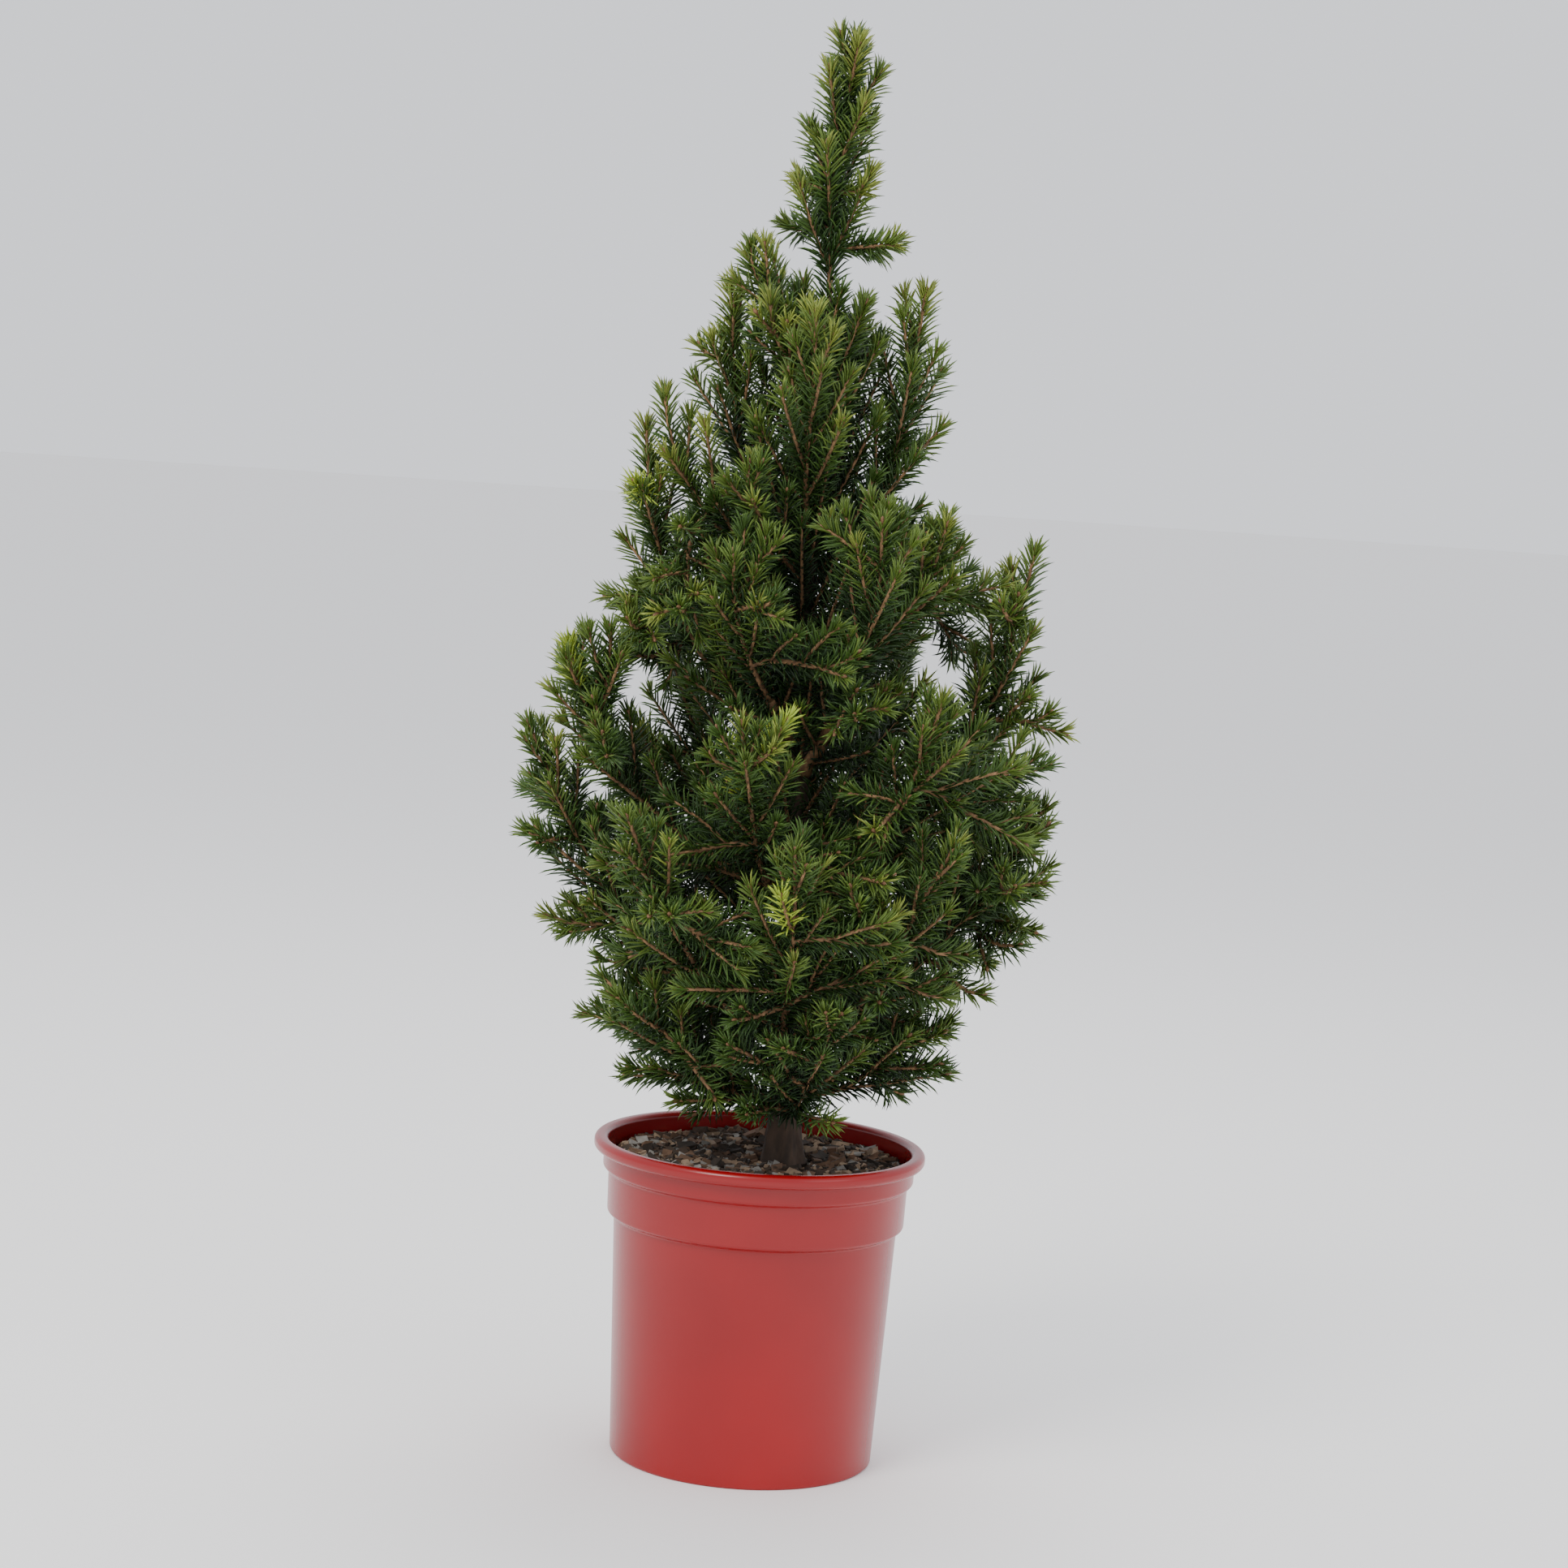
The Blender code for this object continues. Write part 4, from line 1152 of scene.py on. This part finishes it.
def make_soil_chips(materials):
    """Bark and grit of four sizes, thrown over the soil and clear of the trunk's foot."""
    rng = np.random.default_rng(SEED * 7)
    signs = (-1, 1)
    block = np.array([(x, y, z) for x in signs for y in signs for z in signs], dtype=float)
    foot = trunk_axis(TRUNK_FOOT)
    forms = []
    tones = []
    while len(forms) < SOIL_CHIPS:
        radius = SOIL_EDGE * math.sqrt(rng.uniform(0.0, 1.0)) * CHIP_REACH
        turn = rng.uniform(0.0, 2 * math.pi)
        x = radius * math.cos(turn)
        y = radius * math.sin(turn)
        if math.hypot(x - foot.x, y - foot.y) < CHIP_FREE_FOOT:
            continue
        size = rng.choice(CHIP_SIZES, p=CHIP_SIZE_SHARES)
        half = size * rng.uniform(CHIP_LEAST, CHIP_MOST)
        tilt = Euler(rng.uniform((-CHIP_TILT, -CHIP_TILT, 0.0), (CHIP_TILT, CHIP_TILT, CHIP_SPIN)))
        corners = block * (1 + rng.uniform(-CHIP_WARP, CHIP_WARP, (8, 3))) * half
        corners = corners @ np.array(tilt.to_matrix()).T
        high = SOIL_TOP + rng.uniform(*CHIP_HEIGHTS)
        if math.hypot(x, y) + np.abs(corners[:, :2]).max() > SOIL_EDGE:
            continue
        forms.append(corners + (x, y, high))
        tones.append(rng.choice(len(materials), p=CHIP_SHARES))
    pile = Pile()
    pile.add(np.array(forms), block_faces(), np.array(tones))
    chips = pile.piece("soil_chips", materials)
    chips.data.shade_flat()
    return chips


def bark_noise(outward, height, scale, shift=0):
    level, upright = scale
    return noise.noise(Vector((outward.x * level + shift, outward.y * level, height * upright)))


def bark_relief(outward, height):
    """How far the bark stands out at a place on the trunk, as a part of its radius."""
    grain = bark_noise(outward, height, BARK_GRAIN_SCALE)
    plates = bark_noise(outward, height, BARK_PLATE_SCALE, BARK_PLATE_SHIFT)
    return grain * BARK_GRAIN + abs(plates) * BARK_PLATES - BARK_SINK


def make_trunk(material):
    """The trunk with the relief of its bark, from its flat foot to where the leader begins."""
    bm = bmesh.new()
    rings = []
    for k in range(BARK_RINGS + 1):
        height = between(TRUNK_FOOT, TRUNK_TOP, (k / BARK_RINGS) ** BARK_RING_SPREAD)
        middle = trunk_axis(height)
        flare = trunk_flare(height)
        ring = []
        for side in range(BARK_SIDES):
            angle = 2 * math.pi * side / BARK_SIDES
            lobe = 0.5 + 0.5 * math.cos(FLARE_LOBES * angle)
            radius = trunk_radius(height) * (1 + flare * lobe)
            outward = Vector((math.cos(angle), math.sin(angle), 0.0))
            rough = bark_relief(outward, height) * radius
            ring.append(bm.verts.new(middle + outward * (radius + rough)))
        rings.append(ring)
    close_over(bm, rings)
    return mesh_object("trunk_bark", bm, material)


def make_boughs(boughs, material):
    pile = Pile()
    root_radius = BOUGH_ROOT_RADIUS * BOUGH_SWELL
    for line in boughs.values():
        add_tube(pile, line, root_radius, BOUGH_END_RADIUS, BOUGH_FINE_SIDES, BOUGH_RELIEF)
    return pile.piece("bough_bark", [material])


def every_other(line):
    """The line at double steps, with its last point kept."""
    return line[::2] + ([line[-1]] if len(line) % 2 == 0 else [])


def make_twigs(sprays, bark, scales):
    """The wood of all twigs as one piece, and their buds as another."""
    twigs = Pile()
    buds = Pile()
    for spray in sprays:
        if spray.bud:
            line = every_other(spray.line)
            add_tube(twigs, line, spray.root_radius, spray.tip_radius, TWIG_SIDES)
            add_bud(buds, spray)
    return twigs.piece("twigs", [bark]), buds.piece("buds", [scales])


def needle_groups(masses, sprays):
    """Piles of needles, a new one begun once a pile passes PIECE_FULL triangles, each with the masses
    it stands for.
    """
    rng = np.random.default_rng(SEED)
    groups = []
    pile = Pile()
    held = []
    for name in masses:
        for spray in sprays:
            if spray.mass == name:
                grow_needles(pile, spray, rng)
        held.append("mass_" + name)
        if pile.triangles() > PIECE_FULL:
            groups.append((held, pile))
            pile = Pile()
            held = []
    if held:
        groups.append((held, pile))
    return groups


def make_floor():
    bm = bmesh.new()
    bm.faces.new(level_ring(bm, FLOOR_REACH, 0.0, FLOOR_SIDES))
    mesh = bpy.data.meshes.new("floor")
    bm.to_mesh(mesh)
    bm.free()
    material = bpy.data.materials.new("floor")
    material.use_nodes = True
    shader = material.node_tree.nodes["Principled BSDF"]
    shader.inputs["Base Color"].default_value = (*FLOOR_COLOR, 1.0)
    shader.inputs["Roughness"].default_value = 0.9
    mesh.materials.append(material)
    return link_object("floor", mesh)


def make_light(name, place, aim_height, size, watts, color):
    """A round area light that looks at a height on the plant's axis."""
    light = bpy.data.lights.new(name, "AREA")
    light.shape = "DISK"
    light.size = size
    light.energy = watts
    light.color = color
    towards = Vector((0.0, 0.0, aim_height)) - Vector(place)
    turn = towards.to_track_quat("-Z", "Y").to_matrix().to_4x4()
    link_object(name, light).matrix_world = Matrix.Translation(place) @ turn


def make_studio():
    floor = make_floor()
    world = bpy.data.worlds.new("studio")
    world.use_nodes = True
    backdrop = world.node_tree.nodes["Background"]
    backdrop.inputs["Color"].default_value = (*WORLD_COLOR, 1.0)
    backdrop.inputs["Strength"].default_value = WORLD_LIGHT
    bpy.context.scene.world = world
    for light in LIGHTS:
        make_light(*light)
    lens = bpy.data.cameras.new("camera")
    lens.sensor_width = SENSOR
    lens.lens = FOCAL_PIXELS * SENSOR / PHOTO_SIZE
    camera = link_object("camera", lens)
    camera.matrix_world = CAMERA_PLACE
    bpy.context.scene.camera = camera


def place_piece(piece, nodes):
    """The piece rides on the one body, and the CAD nodes it takes the place of are hidden."""
    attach(piece, "root")
    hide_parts(*nodes)


def dress_pot_and_soil():
    finish = {"roughness": 0.26, "grain_scale": 9.0, "detail": 3.0, "bump": 0.03}
    plastic = noisy_material("pot_plastic", POT_SHADE, POT_LIGHT, **finish)
    place_piece(make_pot(plastic), ["pot"])
    soils = [soil_material(name, color) for name, color in SOIL_TONES]
    place_piece(make_soil_bed(soils[0]), ["soil"])
    place_piece(make_soil_chips(soils), ["soil"])


def dress_plant():
    finish = {"roughness": 0.9, "grain_scale": 230.0, "bump": 0.7, "stretch": (1, 1, 0.35)}
    bark = noisy_material("trunk_bark", BARK_SHADE, BARK_LIGHT, **finish)
    place_piece(make_trunk(bark), ["trunk"])
    boughs, masses, space = plan_tree()
    finish = {"roughness": 0.8, "grain_scale": 300.0, "bump": 0.5}
    twig_bark = noisy_material("bough_bark", TWIG_SHADE, TWIG_LIGHT, **finish)
    limbs = make_boughs(boughs, twig_bark)
    place_piece(limbs, ["bough_" + name for name in boughs])
    sprays = plan_sprays(boughs, masses, space)
    scales = noisy_material("bud_scales", BUD_SHADE, BUD_LIGHT, roughness=0.6, grain_scale=500.0)
    every_mass = ["mass_" + name for name in masses]
    for piece in make_twigs(sprays, twig_bark, scales):
        place_piece(piece, every_mass)
    tones = [needle_material("needles_" + name, color) for name, color in NEEDLE_TONES]
    for held, pile in needle_groups(masses, sprays):
        needles = pile.piece(held[0].replace("mass_", "needles_"), tones)
        place_piece(needles, held)


NEEDLE_FACES = needle_faces()
make_studio()
dress_pot_and_soil()
dress_plant()
